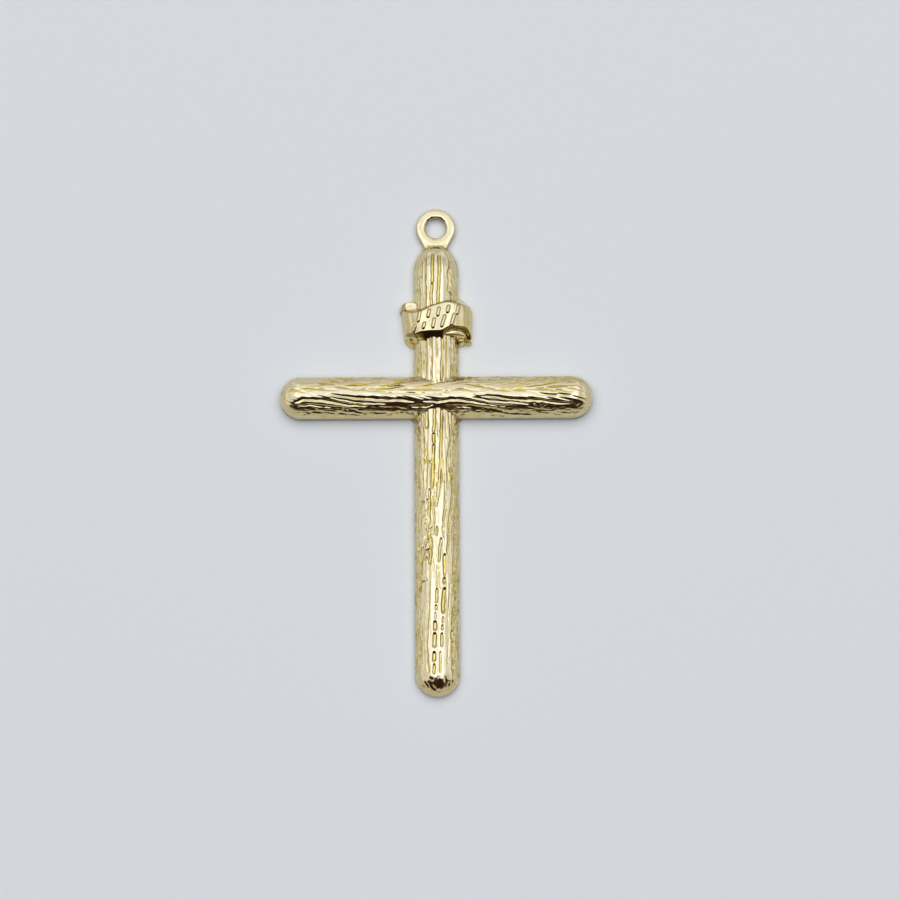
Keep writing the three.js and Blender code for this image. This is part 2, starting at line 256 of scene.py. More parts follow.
# %% Grooves of the upright
# Width, then millimetres from the foot and degrees round the log, the right-hand side positive.
UPRIGHT_GROOVES = [
    (0.22, [(37.8, -29), (35.9, -28), (33.0, -28)]),
    (0.33, [(38.0, -9), (35.7, -10)]),
    (0.31, [(35.4, -11), (34.2, -13), (32.5, -10)]),
    (0.32, [(37.9, 10), (36.2, 9), (35.0, 7), (32.5, 4)]),
    (0.25, [(37.5, 41), (36.5, 33), (35.8, 37), (34.9, 34), (34.4, 44), (33.0, 41)]),
    (0.25, [(37.7, -42), (36.3, -42)]),
    (0.23, [(36.1, -50), (34.7, -47), (33.0, -50)]),
    (0.28, [(31.0, -27), (28.6, -28), (26.8, -30)]),
    (0.21, [(31.0, -12), (29.2, -11), (26.8, -13)]),
    (0.20, [(31.0, 3), (28.5, 1), (27.5, 2)]),
    (0.28, [(31.0, 16), (28.9, 16), (26.8, 14)]),
    (0.20, [(31.0, 28), (28.5, 29), (26.8, 28)]),
    (0.23, [(31.0, 46), (26.9, 42)]),
    (0.35, [(24.3, -5), (23.3, -5), (22.4, -8)]),
    (0.38, [(22.1, -8), (21.4, -8)]),
    (0.38, [(21.1, -8), (19.4, -10), (17.6, -12)]),
    (0.33, [(24.4, 15), (21.9, 12), (19.4, 10), (17.1, 3), (16.0, -2)]),
    (0.36, [(24.4, -27), (22.8, -27)]),
    (0.19, [(21.3, -28), (19.9, -28)]),
    (0.19, [(19.7, -27), (17.5, -28)]),
    (0.20, [(21.8, -37), (21.0, -39), (19.3, -37), (17.6, -37)]),
    (0.25, [(19.8, -34), (19.7, -14)]),
    (0.25, [(19.1, 33), (19.2, 47)]),
    (0.25, [(13.8, 32), (13.9, 43)]),
    (0.28, [(17.3, -20), (16.2, -19), (14.6, -22), (12.4, -34), (11.3, -44), (10.0, -47), (8.2, -55)]),
    (0.23, [(16.7, -9), (16.0, -11), (15.2, -7), (13.6, -10)]),
    (0.35, [(13.2, -17), (12.5, -15), (11.1, -20)]),
    (0.22, [(10.8, -22), (8.2, -21), (5.1, -27), (4.2, -29), (1.9, -24)]),
    (0.25, [(14.1, 0), (13.5, -1)]),
    (0.26, [(14.1, 16), (13.4, 18)]),
    (0.28, [(13.1, 11), (12.5, 8), (11.3, 6)]),
    (0.22, [(10.9, 1), (9.1, -1)]),
    (0.31, [(8.8, -1), (7.8, -2)]),
    (0.30, [(7.4, -3), (7.2, -3)]),
    (0.25, [(6.8, -5), (6.4, -6)]),
    (0.41, [(6.0, -6), (5.5, -6)]),
    (0.43, [(5.0, -7), (4.1, -8)]),
    (0.41, [(3.4, -8), (2.9, -9)]),
    (0.31, [(2.4, -9), (1.8, -10)]),
    (0.36, [(11.7, 20), (10.2, 21)]),
    (0.40, [(9.7, 20), (9.5, 19)]),
    (0.43, [(8.8, 19), (7.9, 16), (7.0, 15)]),
    (0.26, [(6.4, 15), (6.1, 15)]),
    (0.28, [(5.7, 13), (5.5, 13)]),
    (0.30, [(5.0, 12), (4.1, 11)]),
    (0.23, [(3.5, 8), (1.9, 7)]),
    (0.22, [(24.5, 45), (22.6, 45)]),
    (0.24, [(22.3, 40), (21.6, 41), (20.8, 33), (19.4, 29), (18.2, 31), (16.3, 24)]),
    (0.24, [(16.1, 24), (14.8, 17), (14.2, 18)]),
    (0.27, [(18.6, 45), (16.8, 44), (15.0, 34), (14.0, 33)]),
    (0.24, [(13.6, 32), (12.0, 27)]),
    (0.25, [(15.6, 54), (12.9, 51), (10.3, 46), (8.6, 54), (6.8, 47), (5.6, 42)]),
    (0.30, [(5.3, 41), (4.8, 40)]),
    (0.30, [(4.4, 42), (4.0, 43)]),
    (0.30, [(3.6, 41), (3.1, 42)]),
    (0.17, [(9.4, 36), (6.8, 29), (4.5, 30), (2.6, 27)]),
    (0.32, [(2.8, 43), (2.2, 42), (1.5, 48)]),
    (0.32, [(1.05, -36), (0.7, -30)]),
    (0.28, [(1.25, -14), (1.15, -4)]),
    (0.26, [(0.75, 2), (0.7, 14)]),
    (0.30, [(1.1, 24), (0.9, 38)]),
    (0.30, [(0.6, -20), (0.55, -8)]),
]
print("upright grooves", len(UPRIGHT_GROOVES))

# %% Grooves of the crossbar
# Width, then millimetres from the left end and degrees round the bar, the foot's side positive.
CROSSBAR_GROOVES = [
    (0.46, [(3.9, 2), (5.1, 4), (6.1, 10), (9.0, 17), (10.3, 16), (11.3, 23)]),
    (0.48, [(1.3, 24), (2.0, 14), (3.4, 16), (5.7, 29), (7.5, 34)]),
    (0.36, [(4.3, 10), (6.3, 22), (9.0, 28)]),
    (0.40, [(1.3, 32), (2.6, 30), (5.7, 42), (6.8, 55), (7.5, 59)]),
    (0.30, [(1.6, 52), (4.3, 54), (7.1, 68)]),
    (0.28, [(6.3, 52), (8.9, 58)]),
    (0.34, [(8.4, 38), (9.7, 41), (10.9, 47)]),
    (0.36, [(2.0, -18), (3.3, -14), (4.8, -10)]),
    (0.39, [(4.7, -22), (6.1, -14), (9.0, -6)]),
    (0.36, [(0.7, -14), (1.5, -11), (2.1, -3)]),
    (0.30, [(3.4, -34), (4.7, -28)]),
    (0.30, [(5.5, -28), (7.5, -28)]),
    (0.48, [(7.5, -16), (8.1, -14), (10.5, -24)]),
    (0.36, [(8.5, -24), (9.7, -33), (11.8, -54)]),
    (0.39, [(10.2, -13), (13.7, -12)]),
    (0.36, [(8.5, -2), (12.2, 1), (13.7, 4)]),
    (0.39, [(12.2, -24), (12.8, -32), (15.1, -64)]),
    (0.33, [(14.5, -13), (15.6, -11), (16.9, -6)]),
    (0.45, [(13.8, -7), (14.3, -5)]),
    (0.33, [(15.6, -29), (16.9, -22), (17.7, -14)]),
    (0.44, [(12.1, 20), (13.3, 22), (14.5, 15), (16.3, 22), (17.7, 31)]),
    (0.50, [(10.9, 35), (12.3, 36), (13.0, 28)]),
    (0.48, [(13.9, 34), (16.0, 38), (17.7, 44), (18.5, 51), (19.4, 60), (21.5, 66)]),
    (0.46, [(17.0, 8), (18.1, 8), (19.4, 16), (21.9, 20), (23.4, 27), (25.0, 30)]),
    (0.38, [(16.3, 12), (17.4, 19), (19.4, 24), (21.1, 30)]),
    (0.34, [(17.4, 28), (18.6, 36), (20.0, 36)]),
    (0.30, [(17.4, 66), (18.6, 74), (19.4, 74)]),
    (0.34, [(20.9, 41), (21.9, 48), (22.9, 50)]),
    (0.36, [(17.4, -17), (18.3, -10), (19.5, -6)]),
    (0.48, [(19.7, -10), (20.8, -10)]),
    (0.36, [(20.9, -20), (22.4, -28), (23.4, -36)]),
    (0.36, [(21.0, -12), (22.7, -10), (24.8, -3)]),
    (0.42, [(21.2, -2), (22.2, 4), (24.6, 6)]),
    (0.33, [(22.4, -15), (23.6, -20), (25.0, -24)]),
    (0.33, [(24.2, -17), (25.6, -8)]),
    (0.28, [(25.3, 16), (26.0, 26)]),
    (0.50, [(25.1, 34), (25.3, 40)]),
    (0.30, [(0.5, 20), (0.9, 32)]),
    (0.30, [(21.2, 32), (21.6, 26)]),
    (0.30, [(21.8, 35), (22.2, 28)]),
    (0.30, [(22.3, 42), (22.7, 31)]),
]
print("crossbar grooves", len(CROSSBAR_GROOVES))

# %% [markdown]
# The flanks are rougher than the crown. Hundreds of short nicks stand there close together, and nobody
# could tell one from another, so these are scattered by rule: lengthwise on the upright and on the bar's
# upper flank, and across the grain on its lower one. Longer ones run along the upright's crown, and a few
# cross its left side halfway up.

# %% Nicks on the flanks
NICK_SIZES = (0.5, 1.5)  # times the reach
SEEDS_APART = 7
SINE_STRIDE, SINE_STRETCH = 12.9898, 43758.5453  # uneven numbers, so that the result jumps about


def chance(seed):
    """A repeatable number from 0 to 1 for each seed."""
    return math.sin(seed * SINE_STRIDE) * SINE_STRETCH % 1


def nicks(count, stretch, angles, reach, turn, seed, widths=(0.1, 0.2)):
    """Short grooves scattered over a stretch of a log, of about the given reach and turn in degrees."""
    scattered = []
    for n in range(count):
        draw = [chance(seed + SEEDS_APART * n + k) for k in range(4)]
        start = stretch[0] + draw[0] * (stretch[1] - stretch[0])
        angle = angles[0] + draw[1] * (angles[1] - angles[0])
        size = NICK_SIZES[0] + draw[2] * (NICK_SIZES[1] - NICK_SIZES[0])
        places = [(start, angle), (start + reach * size, angle + turn * size)]
        scattered.append((widths[0] + draw[3] * (widths[1] - widths[0]), places))
    return scattered


UPRIGHT_GROOVES += nicks(60, (8.5, 30.0), (-36, 36), reach=1.6, turn=-3, seed=8000)
UPRIGHT_GROOVES += nicks(18, (8.0, 16.5), (-46, -20), reach=0.03, turn=10, seed=9000, widths=(0.2, 0.28))
UPRIGHT_GROOVES += nicks(140, (0.6, 30.0), (38, 76), reach=0.8, turn=3, seed=1)
UPRIGHT_GROOVES += nicks(140, (0.6, 30.0), (-76, -38), reach=0.8, turn=-3, seed=2000)
CROSSBAR_GROOVES += nicks(90, (0.8, 25.0), (40, 62), reach=0.06, turn=7, seed=4000)
CROSSBAR_GROOVES += nicks(80, (0.8, 24.5), (-66, -34), reach=0.9, turn=6, seed=6000)
print("with nicks", len(UPRIGHT_GROOVES), "and", len(CROSSBAR_GROOVES))

# %% [markdown]
# ## Carving
#
# Every point of a log knows how far along it is and at what angle round it, so a groove can push it straight
# in towards the log's middle line. This is sculpting by rule, and no modelling operator does it. A groove
# has a flat floor and sloping walls, and its path wanders a few hundredths of a millimetre, as a hand does.
# Between the grooves the wood has fibres, which lean one way on the bar's upper side and the other way on
# its lower side, and broad strands above. The flanks are left rough from the die, and a faint unevenness
# there makes the metal glitter. All of it runs out towards the tips, where it would crowd into a star.

# %% Depth of the grooves
WANDER = 0.05
WANDER_SIZE = (0.6, 0.6)  # along and across
BLUNT_TIP = 0.4  # the width at the end of a pointed groove, as a share


def noise_along(along, across, lengths, seed):
    places = zip(along / lengths[0], across / lengths[1])
    return np.array([noise.noise(Vector((a, c, seed))) for a, c in places])


def line_lengths(line):
    steps = [math.hypot(b[0] - a[0], b[1] - a[1]) for a, b in zip(line, line[1:])]
    return steps, sum(steps)


def groove_depth(grooves, radius, along, across, steepness, floor_share, pointed):
    """Depth at each point, from depth over width and the floor's share of the width."""
    depth = np.zeros(len(along))
    for width, places in grooves:
        line = [(place, radius * math.radians(angle)) for place, angle in places]
        steps, total = line_lengths(line)
        done = 0
        for (a0, c0), (a1, c1), step in zip(line, line[1:], steps):
            near = np.abs(along - (a0 + a1) / 2) < abs(a1 - a0) / 2 + width
            near &= np.abs(across - (c0 + c1) / 2) < abs(c1 - c0) / 2 + width
            ahead = (along[near] - a0) * (a1 - a0) + (across[near] - c0) * (c1 - c0)
            share = np.clip(ahead / step**2, 0, 1)
            aside = np.hypot(along[near] - a0 - share * (a1 - a0), across[near] - c0 - share * (c1 - c0))
            half = np.full(len(aside), width / 2)
            if pointed:
                swelling = np.sin(np.pi * np.clip((done + share * step) / total, 0, 1))
                half *= BLUNT_TIP + (1 - BLUNT_TIP) * np.sqrt(swelling)
            wall = np.clip((aside / half - floor_share) / (1 - floor_share), 0, 1)
            cut = steepness * 2 * half * (0.5 + 0.5 * np.cos(np.pi * wall))
            depth[near] = np.maximum(depth[near], cut)
            done += step
    return depth


print("grooves wander by", WANDER, "mm")

# %% Fibres, strands and unevenness
FIBRES = 0.05
FIBRE_SIZE = (3.0, 0.18)  # length and width
SLANT_CHANGE = (-15, 10)  # degrees, where one slant of the fibres gives way to the other
STRANDS = 0.075  # broad ridges on the bar's upper flank
STRAND_SIZE = (4.5, 0.5)
MOTTLING = 0.055  # on the flanks
FINE_MOTTLING = 0.0275
MOTTLE_SIZES = (0.27, 0.45, 0.27)  # across, along and upwards
FINE_MOTTLE_SIZES = (0.16, 0.2, 0.16)
FIBRE_SEED, STRAND_SEED, MOTTLE_SEED, FINE_SEED = 5, 21, 9, 13
FIBRES_RUN_OUT = (0.5, 1)  # towards the tips, as shares of the radius


def noise_in_space(points, sizes, seed):
    return np.array([noise.noise(Vector(place)) for place in points / np.array(sizes) + seed])


def smooth_step(value, low, high):
    share = np.clip((value - low) / (high - low), 0, 1)
    return share * share * (3 - 2 * share)


def grain_between(points, along, across, degrees, round_end, fibrous, mottled, stranded, slants, seed):
    """The unevenness of the wood between its grooves, as depth at each point."""
    left, right = (
        noise_along(along, across - slant * along, FIBRE_SIZE, seed + FIBRE_SEED) for slant in slants
    )
    fibres = left + (right - left) * smooth_step(degrees, *SLANT_CHANGE)
    depth = FIBRES * fibrous * fibres * smooth_step(round_end, *FIBRES_RUN_OUT)
    strands = noise_along(along, across - slants[0] * along, STRAND_SIZE, seed + STRAND_SEED)
    depth += STRANDS * stranded * strands
    depth += MOTTLING * mottled * noise_in_space(points, MOTTLE_SIZES, seed + MOTTLE_SEED)
    depth += FINE_MOTTLING * mottled * noise_in_space(points, FINE_MOTTLE_SIZES, seed + FINE_SEED)
    return depth


print("fibres", FIBRES, "strands", STRANDS, "mottling", MOTTLING, "mm deep at most")

# %% Carve a log
OUTER_SHARE = 0.5  # of the radius; nearer the middle line nothing is carved
GROOVES_RUN_OUT = (0.3, 0.75)  # towards the tips, as shares of the radius
TIP_FADE = (0, 0.35)
RIM_FADE = 0.12  # the rise above the rim over which the carving sets in
PROUDEST = 0.01  # how far the carving may stand out of the log


def carve(log, length, radius, edge, grooves, steepness, floor_share, pointed, roughness_at, slants, seed):
    points = points_of(log)
    axis = np.zeros_like(points)
    half_straight = length / 2 - radius
    axis[:, 1] = np.clip(points[:, 1], -half_straight, half_straight)
    axis[:, 2] = edge
    out = points - axis
    distance = np.linalg.norm(out, axis=1, keepdims=True)
    front = (points[:, 2] > edge + NEAR) & (distance[:, 0] > OUTER_SHARE * radius)
    out = out / np.maximum(distance, TINY)
    along = points[:, 1] + length / 2
    angle = np.arctan2(points[:, 0], points[:, 2] - edge)
    across = radius * angle
    strayed = across + WANDER * noise_along(along, across, WANDER_SIZE, seed)
    depth = groove_depth(grooves, radius, along, strayed, steepness, floor_share, pointed)
    degrees = np.degrees(angle)
    relief, *rough = roughness_at(along, degrees)
    round_end = np.sqrt(np.clip(1 - out[:, 1] ** 2, 0, 1))
    depth *= relief * smooth_step(round_end, *GROOVES_RUN_OUT)
    depth += grain_between(points, along, across, degrees, round_end, *rough, slants, seed)
    above_rim = np.clip(out[:, 2] / RIM_FADE, 0, 1)
    depth = np.maximum(depth, -PROUDEST) * above_rim * smooth_step(round_end, *TIP_FADE)
    points[front] -= (out * depth[:, None])[front]
    move_points(log, points)
    print(log.name, "carved to", round(float(depth.max()), 3), "mm")


print("carving sets in", RIM_FADE, "above the rim")

# %% [markdown]
# How rough the wood is changes over each log. The upright's crown is smooth near both ends and fibrous
# between them, and its foot has no fibres. On the crossbar the grooves are shallow along the crown's upper
# side, which stays bright, and deep on the flank above it. Both functions give four shares for a place:
# how deep the grooves are, how fibrous it is, how uneven and how stranded.

# %% Carve the upright
CROWN_FIBRES = (0.2, 0.65)  # near the ends, and what is added between them
CROWN_FROM, CROWN_TO = (8, 14), (32.5, 31)  # millimetres from the foot
FLANK_FIBRES = 1.1
FIBROUS_FLANK = (12, 35)  # degrees from the crown
UNEVEN_FLANK = (28, 50)
FOOT_STRETCH = (1.9, 1.3)
FOOT_BARENESS = 0.7
FIBRES_FROM = (0.9, 2.2)


def upright_roughness(along, degrees):
    aside = np.abs(degrees)
    between_ends = smooth_step(along, *CROWN_FROM) * smooth_step(along, *CROWN_TO)
    crown = CROWN_FIBRES[0] + CROWN_FIBRES[1] * between_ends
    foot = smooth_step(along, *FOOT_STRETCH)
    fibrous = crown + (FLANK_FIBRES - crown) * smooth_step(aside, *FIBROUS_FLANK)
    fibrous *= smooth_step(along, *FIBRES_FROM)
    return 1 - FOOT_BARENESS * foot, fibrous, np.maximum(foot, smooth_step(aside, *UNEVEN_FLANK)), 0


carve(
    upright,
    UPRIGHT_LENGTH,
    UPRIGHT_RADIUS,
    TRIMMED_EDGE,
    UPRIGHT_GROOVES,
    steepness=0.3,
    floor_share=0.4,
    pointed=False,
    roughness_at=upright_roughness,
    slants=(0, 0),
    seed=1.0,
)

# %% Carve the crossbar
RELIEF_ANGLES = (-40, -25, -12, 2, 10)  # degrees
RELIEF_SHARES = (1.8, 1.5, 0.8, 0.45, 1)
BAR_FIBRES = 0.6
UNEVEN_BAR = (25, 45)
STRANDED_BAR = (4, 22)  # above the crown


def crossbar_roughness(along, degrees):
    relief = np.interp(degrees, RELIEF_ANGLES, RELIEF_SHARES)
    uneven = smooth_step(np.abs(degrees), *UNEVEN_BAR)
    return relief, BAR_FIBRES, uneven, smooth_step(-degrees, *STRANDED_BAR)


carve(
    crossbar,
    SPAN,
    CROSSBAR_RADIUS,
    CROSSBAR_EDGE,
    CROSSBAR_GROOVES,
    steepness=0.19,
    floor_share=0.12,
    pointed=True,
    roughness_at=crossbar_roughness,
    slants=(-0.22, 0.25),
    seed=40.0,
)

# %% [markdown]
# ## The ends of the upright
#
# Under the ring the log runs out longer and slimmer than a ball. Its last millimetres are stretched: the
# stretch before the dome gives up half a millimetre, and the dome takes it. The foot is blunt instead: round
# in plan, but full in height until it drops off steeply.

# %% Shape both ends and lay the logs crosswise
DOME_LENGTH = 2.4
GIVING_STRETCH = 4.0
FOOT_BLUNTNESS = 2.3
TO_THE_TIP = 0.999  # the share of the foot's round end that is reshaped

dome_start = UPRIGHT_LENGTH / 2 - UPRIGHT_RADIUS
upright_points = points_of(upright)
end_y = UPRIGHT_LENGTH / 2
BALL_ENDED = [-end_y, dome_start - GIVING_STRETCH, dome_start, end_y]
DOMED = [-end_y, dome_start - GIVING_STRETCH, end_y - DOME_LENGTH, end_y]


def bluntness(y):
    """How much higher the foot stands than a ball would."""
    past_foot = np.clip((-dome_start - y) / UPRIGHT_RADIUS, 0, TO_THE_TIP)
    return (1 - past_foot**FOOT_BLUNTNESS) ** (1 / FOOT_BLUNTNESS) / np.sqrt(1 - past_foot**2)


above_edge = np.maximum(upright_points[:, 2] - TRIMMED_EDGE, 0)
upright_points[:, 2] += above_edge * (bluntness(upright_points[:, 1]) - 1)
upright_points[:, 1] = np.interp(upright_points[:, 1], BALL_ENDED, DOMED)
move_points(upright, upright_points)
upright.location = (0, UPRIGHT_Y, 0)
crossbar.location = (0, CROSSBAR_Y, 0)
crossbar.rotation_euler = (0, 0, -math.pi / 2)
for log in (upright, crossbar):
    settle(log)
    print(log.name, "crown at z", round(float(points_of(log)[:, 2].max()), 3))

# %% [markdown]
# ## The scroll
#
# A ribbon lies over the upright with both ends rolled: the left roll opens upwards past the ribbon's upper
# edge, and the right end turns under and shows its mouth below. A die can leave no undercut, so the whole
# scroll is one height over each place, and a fine grid lifted to that height gives it. The ribbon's two
# edges are drawn as curves, and each roll is a few rounded forms beside them.

# %% The ribbon of the scroll
# Sideways from the upright's middle line, and up from the scroll's own middle.
UPPER_EDGE = [
    (-2.86, 0.99),
    (-2.44, 0.64),
    (-1.83, 0.50),
    (-1.32, 0.60),
    (-0.94, 0.75),
    (-0.37, 1.02),
    (0.09, 1.15),
    (0.84, 1.39),
    (1.69, 1.33),
    (2.26, 1.17),
    (2.91, 0.96),
]
LOWER_EDGE = [
    (-2.30, -1.19),
    (-1.74, -1.36),
    (-1.32, -1.19),
    (-0.47, -1.13),
    (0.37, -1.13),
    (0.94, -0.87),
    (1.32, -0.72),
    (1.78, -0.79),
    (2.49, -0.68),
    (2.87, -1.08),
    (2.96, -1.32),
]
# The slope of the wall below the lower edge.
LOWER_WALL = [(-2.5, 3.0), (-2.0, 2.2), (-1.5, 1.2), (-1.0, 0.8), (0.7, 0.68), (1.3, 3.5), (2.6, 3.5)]
UPPER_WALL = 2.2
RIBBON_TOP = 2.42
RIBBON_SQUARENESS = 2.5
RIGHT_REACH = 3.03
LEFT_REACH = 2.83
LEFT_SLANT = 0.13
SLANT_LIMITS = (-4, 4)  # beyond these the left end runs straight
END_FALL = 6  # for each reach past the ribbon's ends
CORNER_EASING = 0.14
EDGE_EASING = 0.05


def curve_at(curve, u):
    """A curve through points, with its corners eased."""
    at, values = zip(*curve)
    shifts = (-CORNER_EASING, 0, CORNER_EASING)
    return sum(np.interp(u + shift, at, values) for shift in shifts) / len(shifts)


def past(distance):
    """The distance past an edge, zero before it, with an eased start."""
    return 0.5 * (distance + np.sqrt(distance**2 + EDGE_EASING**2))


def ribbon_arch(u, v):
    reach = np.where(u < 0, LEFT_REACH + LEFT_SLANT * np.clip(v, *SLANT_LIMITS), RIGHT_REACH)
    share = np.abs(u) / reach
    inside = np.clip(1 - share**RIBBON_SQUARENESS, 0, 1) ** (1 / RIBBON_SQUARENESS)
    return np.where(share < 1, RIBBON_TOP * inside, -END_FALL * (share - 1))


def ribbon_height(u, v):
    below = past(curve_at(LOWER_EDGE, u) - v)
    above = past(v - curve_at(UPPER_EDGE, u))
    return ribbon_arch(u, v) - curve_at(LOWER_WALL, u) * below - UPPER_WALL * above


print("ribbon from", -LEFT_REACH, "to", RIGHT_REACH, "across the upright, top at z", RIBBON_TOP)

# %% [markdown]
# The ribbon carries two rows of raised strokes. They are plain slanting dashes of uneven length, rounded on
# top like everything that a die strikes.

# %% Strokes on the ribbon
STROKE_HALF_WIDTH = 0.2
STROKE_PROUD = 0.11
STROKE_LEANS = (math.radians(8), math.radians(26))  # the least and the greatest
STROKE_HALF_LENGTHS = (0.14, 0.42)
STROKE_ROW = 0.46  # above and below the ribbon's middle
STROKES_IN_ROW = 5
STROKE_SPACING = 0.82
STROKE_ROUNDING = (0.2, 1)  # from the flat of its top to its foot, as shares of the half width
LENGTH_SEED, LEAN_SEED = 31, 57


def stroke_height(u, v):
    middle = (curve_at(UPPER_EDGE, u) + curve_at(LOWER_EDGE, u)) / 2
    height = np.zeros_like(u)
    for row in (-1, 1):
        for n in range(STROKES_IN_ROW):
            aside = u - (n - (STROKES_IN_ROW - 1) / 2 + row / 4) * STROKE_SPACING
            up = v - middle - row * STROKE_ROW
            half_length = np.interp(chance(LENGTH_SEED * row + n), (0, 1), STROKE_HALF_LENGTHS)
            lean = np.interp(chance(LEAN_SEED * row + n), (0, 1), STROKE_LEANS)
            along = aside * math.sin(lean) + up * math.cos(lean)
            across = aside * math.cos(lean) - up * math.sin(lean)
            reach = np.hypot(np.maximum(0, np.abs(along) - half_length), across) / STROKE_HALF_WIDTH
            height = np.maximum(height, STROKE_PROUD * (1 - smooth_step(reach, *STROKE_ROUNDING)))
    return height


print("strokes", 2 * STROKES_IN_ROW, "standing proud by", STROKE_PROUD)

# %% [markdown]
# The left roll is a shallow dish behind the ribbon's upper edge, with a rounded tail that runs down into
# the log. On the right the inner turn shows as a ledge under the ribbon, above a small facet and a knob.

# %% Rolled ends of the scroll
LEDGE_EDGE = [(0.75, -1.28), (1.15, -1.05), (1.55, -0.93), (2.0, -0.95), (2.45, -1.12)]
LEDGE_DROP = 0.33
LEDGE_SLOPE = 0.12
LEDGE_FOOT = -1.42
LEDGE_SPAN = (0.75, 2.5)
STEEP = 4.0
DOME_FALL = 3  # for each half size past a dome's edge
# Middle and half sizes, and for a dome its height.
DISH = ((-2.15, 1.1), (0.82, 0.62))
TAIL = ((-1.85, -1.15), (0.86, 1.05), 1.3)
FACET = ((2.1, -1.68), (0.45, 0.36), 0.95)
KNOB = ((2.73, -1.72), (0.3, 0.27), 0.9)
# From the dish's middle to past its rim, and the heights there.
DISH_SECTION = ([0, 0.5, 0.8, 0.92, 1.0, 1.15, 1.5], [1.07, 1.08, 1.1, 1.08, 0.93, 0.0, -1.0])


def ellipse(u, v, centre, half_sizes):
    return np.hypot((u - centre[0]) / half_sizes[0], (v - centre[1]) / half_sizes[1])


def dome(u, v, centre, half_sizes, height):
    share = ellipse(u, v, centre, half_sizes)
    return np.where(share < 1, height * np.sqrt(np.clip(1 - share**2, 0, 1)), -DOME_FALL * (share - 1))


def left_roll(u, v):
    dish = np.interp(ellipse(u, v, *DISH), *DISH_SECTION)
    return np.maximum(dish, dome(u, v, *TAIL))


def right_roll(u, v):
    edge = curve_at(LEDGE_EDGE, u)
    ledge = ribbon_arch(u, v) - LEDGE_DROP - LEDGE_SLOPE * past(edge - v) - STEEP * past(v - edge)
    ledge -= STEEP * (past(LEDGE_FOOT - v) + past(LEDGE_SPAN[0] - u) + past(u - LEDGE_SPAN[1]))
    return np.maximum(ledge, np.maximum(dome(u, v, *FACET), dome(u, v, *KNOB)))


def scroll_height(u, v):
    rolls = np.maximum(left_roll(u, v), right_roll(u, v))
    return np.maximum(ribbon_height(u, v) + stroke_height(u, v), rolls)


print("left roll at", DISH[0], "right knob at", KNOB[0])

# %% Lift the scroll's grid and cut it off level
SCROLL_GRID_STEP = 0.045
SCROLL_GRID = (7.0, 5.4)
SCROLL_FOOT = -0.6  # the grid's lowest, under the back
SKIRT = 1.0  # how far its rim is drawn down from there
GRID_SMOOTHING = 0.5
SLAB = (20, 20, 4)

select_nothing()
bpy.ops.mesh.primitive_grid_add(
    x_subdivisions=round(SCROLL_GRID[0] / SCROLL_GRID_STEP),
    y_subdivisions=round(SCROLL_GRID[1] / SCROLL_GRID_STEP),
    size=1,
)
scroll = bpy.context.object
scroll.name = "scroll"
scroll.scale = (SCROLL_GRID[0], SCROLL_GRID[1], 1)
settle(scroll)
scroll_points = points_of(scroll)
scroll_points[:, 2] = np.maximum(SCROLL_FOOT, scroll_height(scroll_points[:, 0], scroll_points[:, 1]))
move_points(scroll, scroll_points)
bpy.ops.object.mode_set(mode="EDIT")
bpy.ops.mesh.select_mode(type="EDGE")
bpy.ops.mesh.select_all(action="SELECT")
bpy.ops.mesh.vertices_smooth(factor=GRID_SMOOTHING, repeat=1)
bpy.ops.mesh.select_all(action="DESELECT")
bpy.ops.mesh.select_non_manifold()
bpy.ops.mesh.extrude_edges_move(TRANSFORM_OT_translate={"value": (0, 0, -SKIRT)})
bpy.ops.mesh.edge_face_add()
bpy.ops.mesh.select_all(action="SELECT")
bpy.ops.mesh.normals_make_consistent(inside=False)
bpy.ops.object.mode_set(mode="OBJECT")
scroll.location = (0, SCROLL_Y, 0)
settle(scroll)
select_nothing()
bpy.ops.mesh.primitive_cube_add(size=1, location=(0, SCROLL_Y, -SLAB[2] / 2), scale=SLAB)
slab = bpy.context.object
settle(slab)
combine(scroll, slab, "DIFFERENCE")
print("scroll points", len(scroll.data.vertices))

# %% [markdown]
# ## The hanging ring
#
# The ring is a flat plate left at the top of the strike. Its outline is a circle whose sides run straight
# down into a narrower neck. A round plate and a small block in the neck, wrapped together by a convex hull,
# give just that outline. The hole is bored through and the edges are rounded, as tumbling rounds them.

# %% Hanging ring
RING_RADIUS = 1.65
RING_HOLE_RADIUS = 0.9
RING_THICKNESS = 0.8
RING_Y = OVERALL_LENGTH / 2 - RING_RADIUS
NECK_FOOT = (1.3, 0.4)  # the block's width and depth
NECK_FOOT_DROP = 2.1  # below the ring's middle
RING_ROUNDING = 0.14
RING_SIDES = 96
ROUNDING_STEPS = 5
ROUNDED_FROM = math.radians(40)  # edges sharper than this are rounded
FLAT_UNDER = math.radians(1)  # faces that meet at less are one

select_nothing()
bpy.ops.mesh.primitive_cylinder_add(
    vertices=RING_SIDES,
    radius=RING_RADIUS,
    depth=RING_THICKNESS,
    location=(0, RING_Y, RING_THICKNESS / 2),
)
ring = bpy.context.object
ring.name = "ring"
settle(ring)
bpy.ops.object.mode_set(mode="EDIT")
bpy.ops.mesh.primitive_cube_add(
    size=1,
    location=(0, RING_Y - NECK_FOOT_DROP, RING_THICKNESS / 2),
    scale=(NECK_FOOT[0], NECK_FOOT[1], RING_THICKNESS),
)
bpy.ops.mesh.select_all(action="SELECT")
bpy.ops.mesh.convex_hull()
bpy.ops.mesh.select_all(action="SELECT")
bpy.ops.mesh.dissolve_limited(angle_limit=FLAT_UNDER)
bpy.ops.object.mode_set(mode="OBJECT")
apply_modifier(
    ring,
    "BEVEL",
    width=RING_ROUNDING,
    segments=ROUNDING_STEPS,
    limit_method="ANGLE",
    angle_limit=ROUNDED_FROM,
)
print("ring middle at y", RING_Y, "blank points", len(ring.data.vertices))

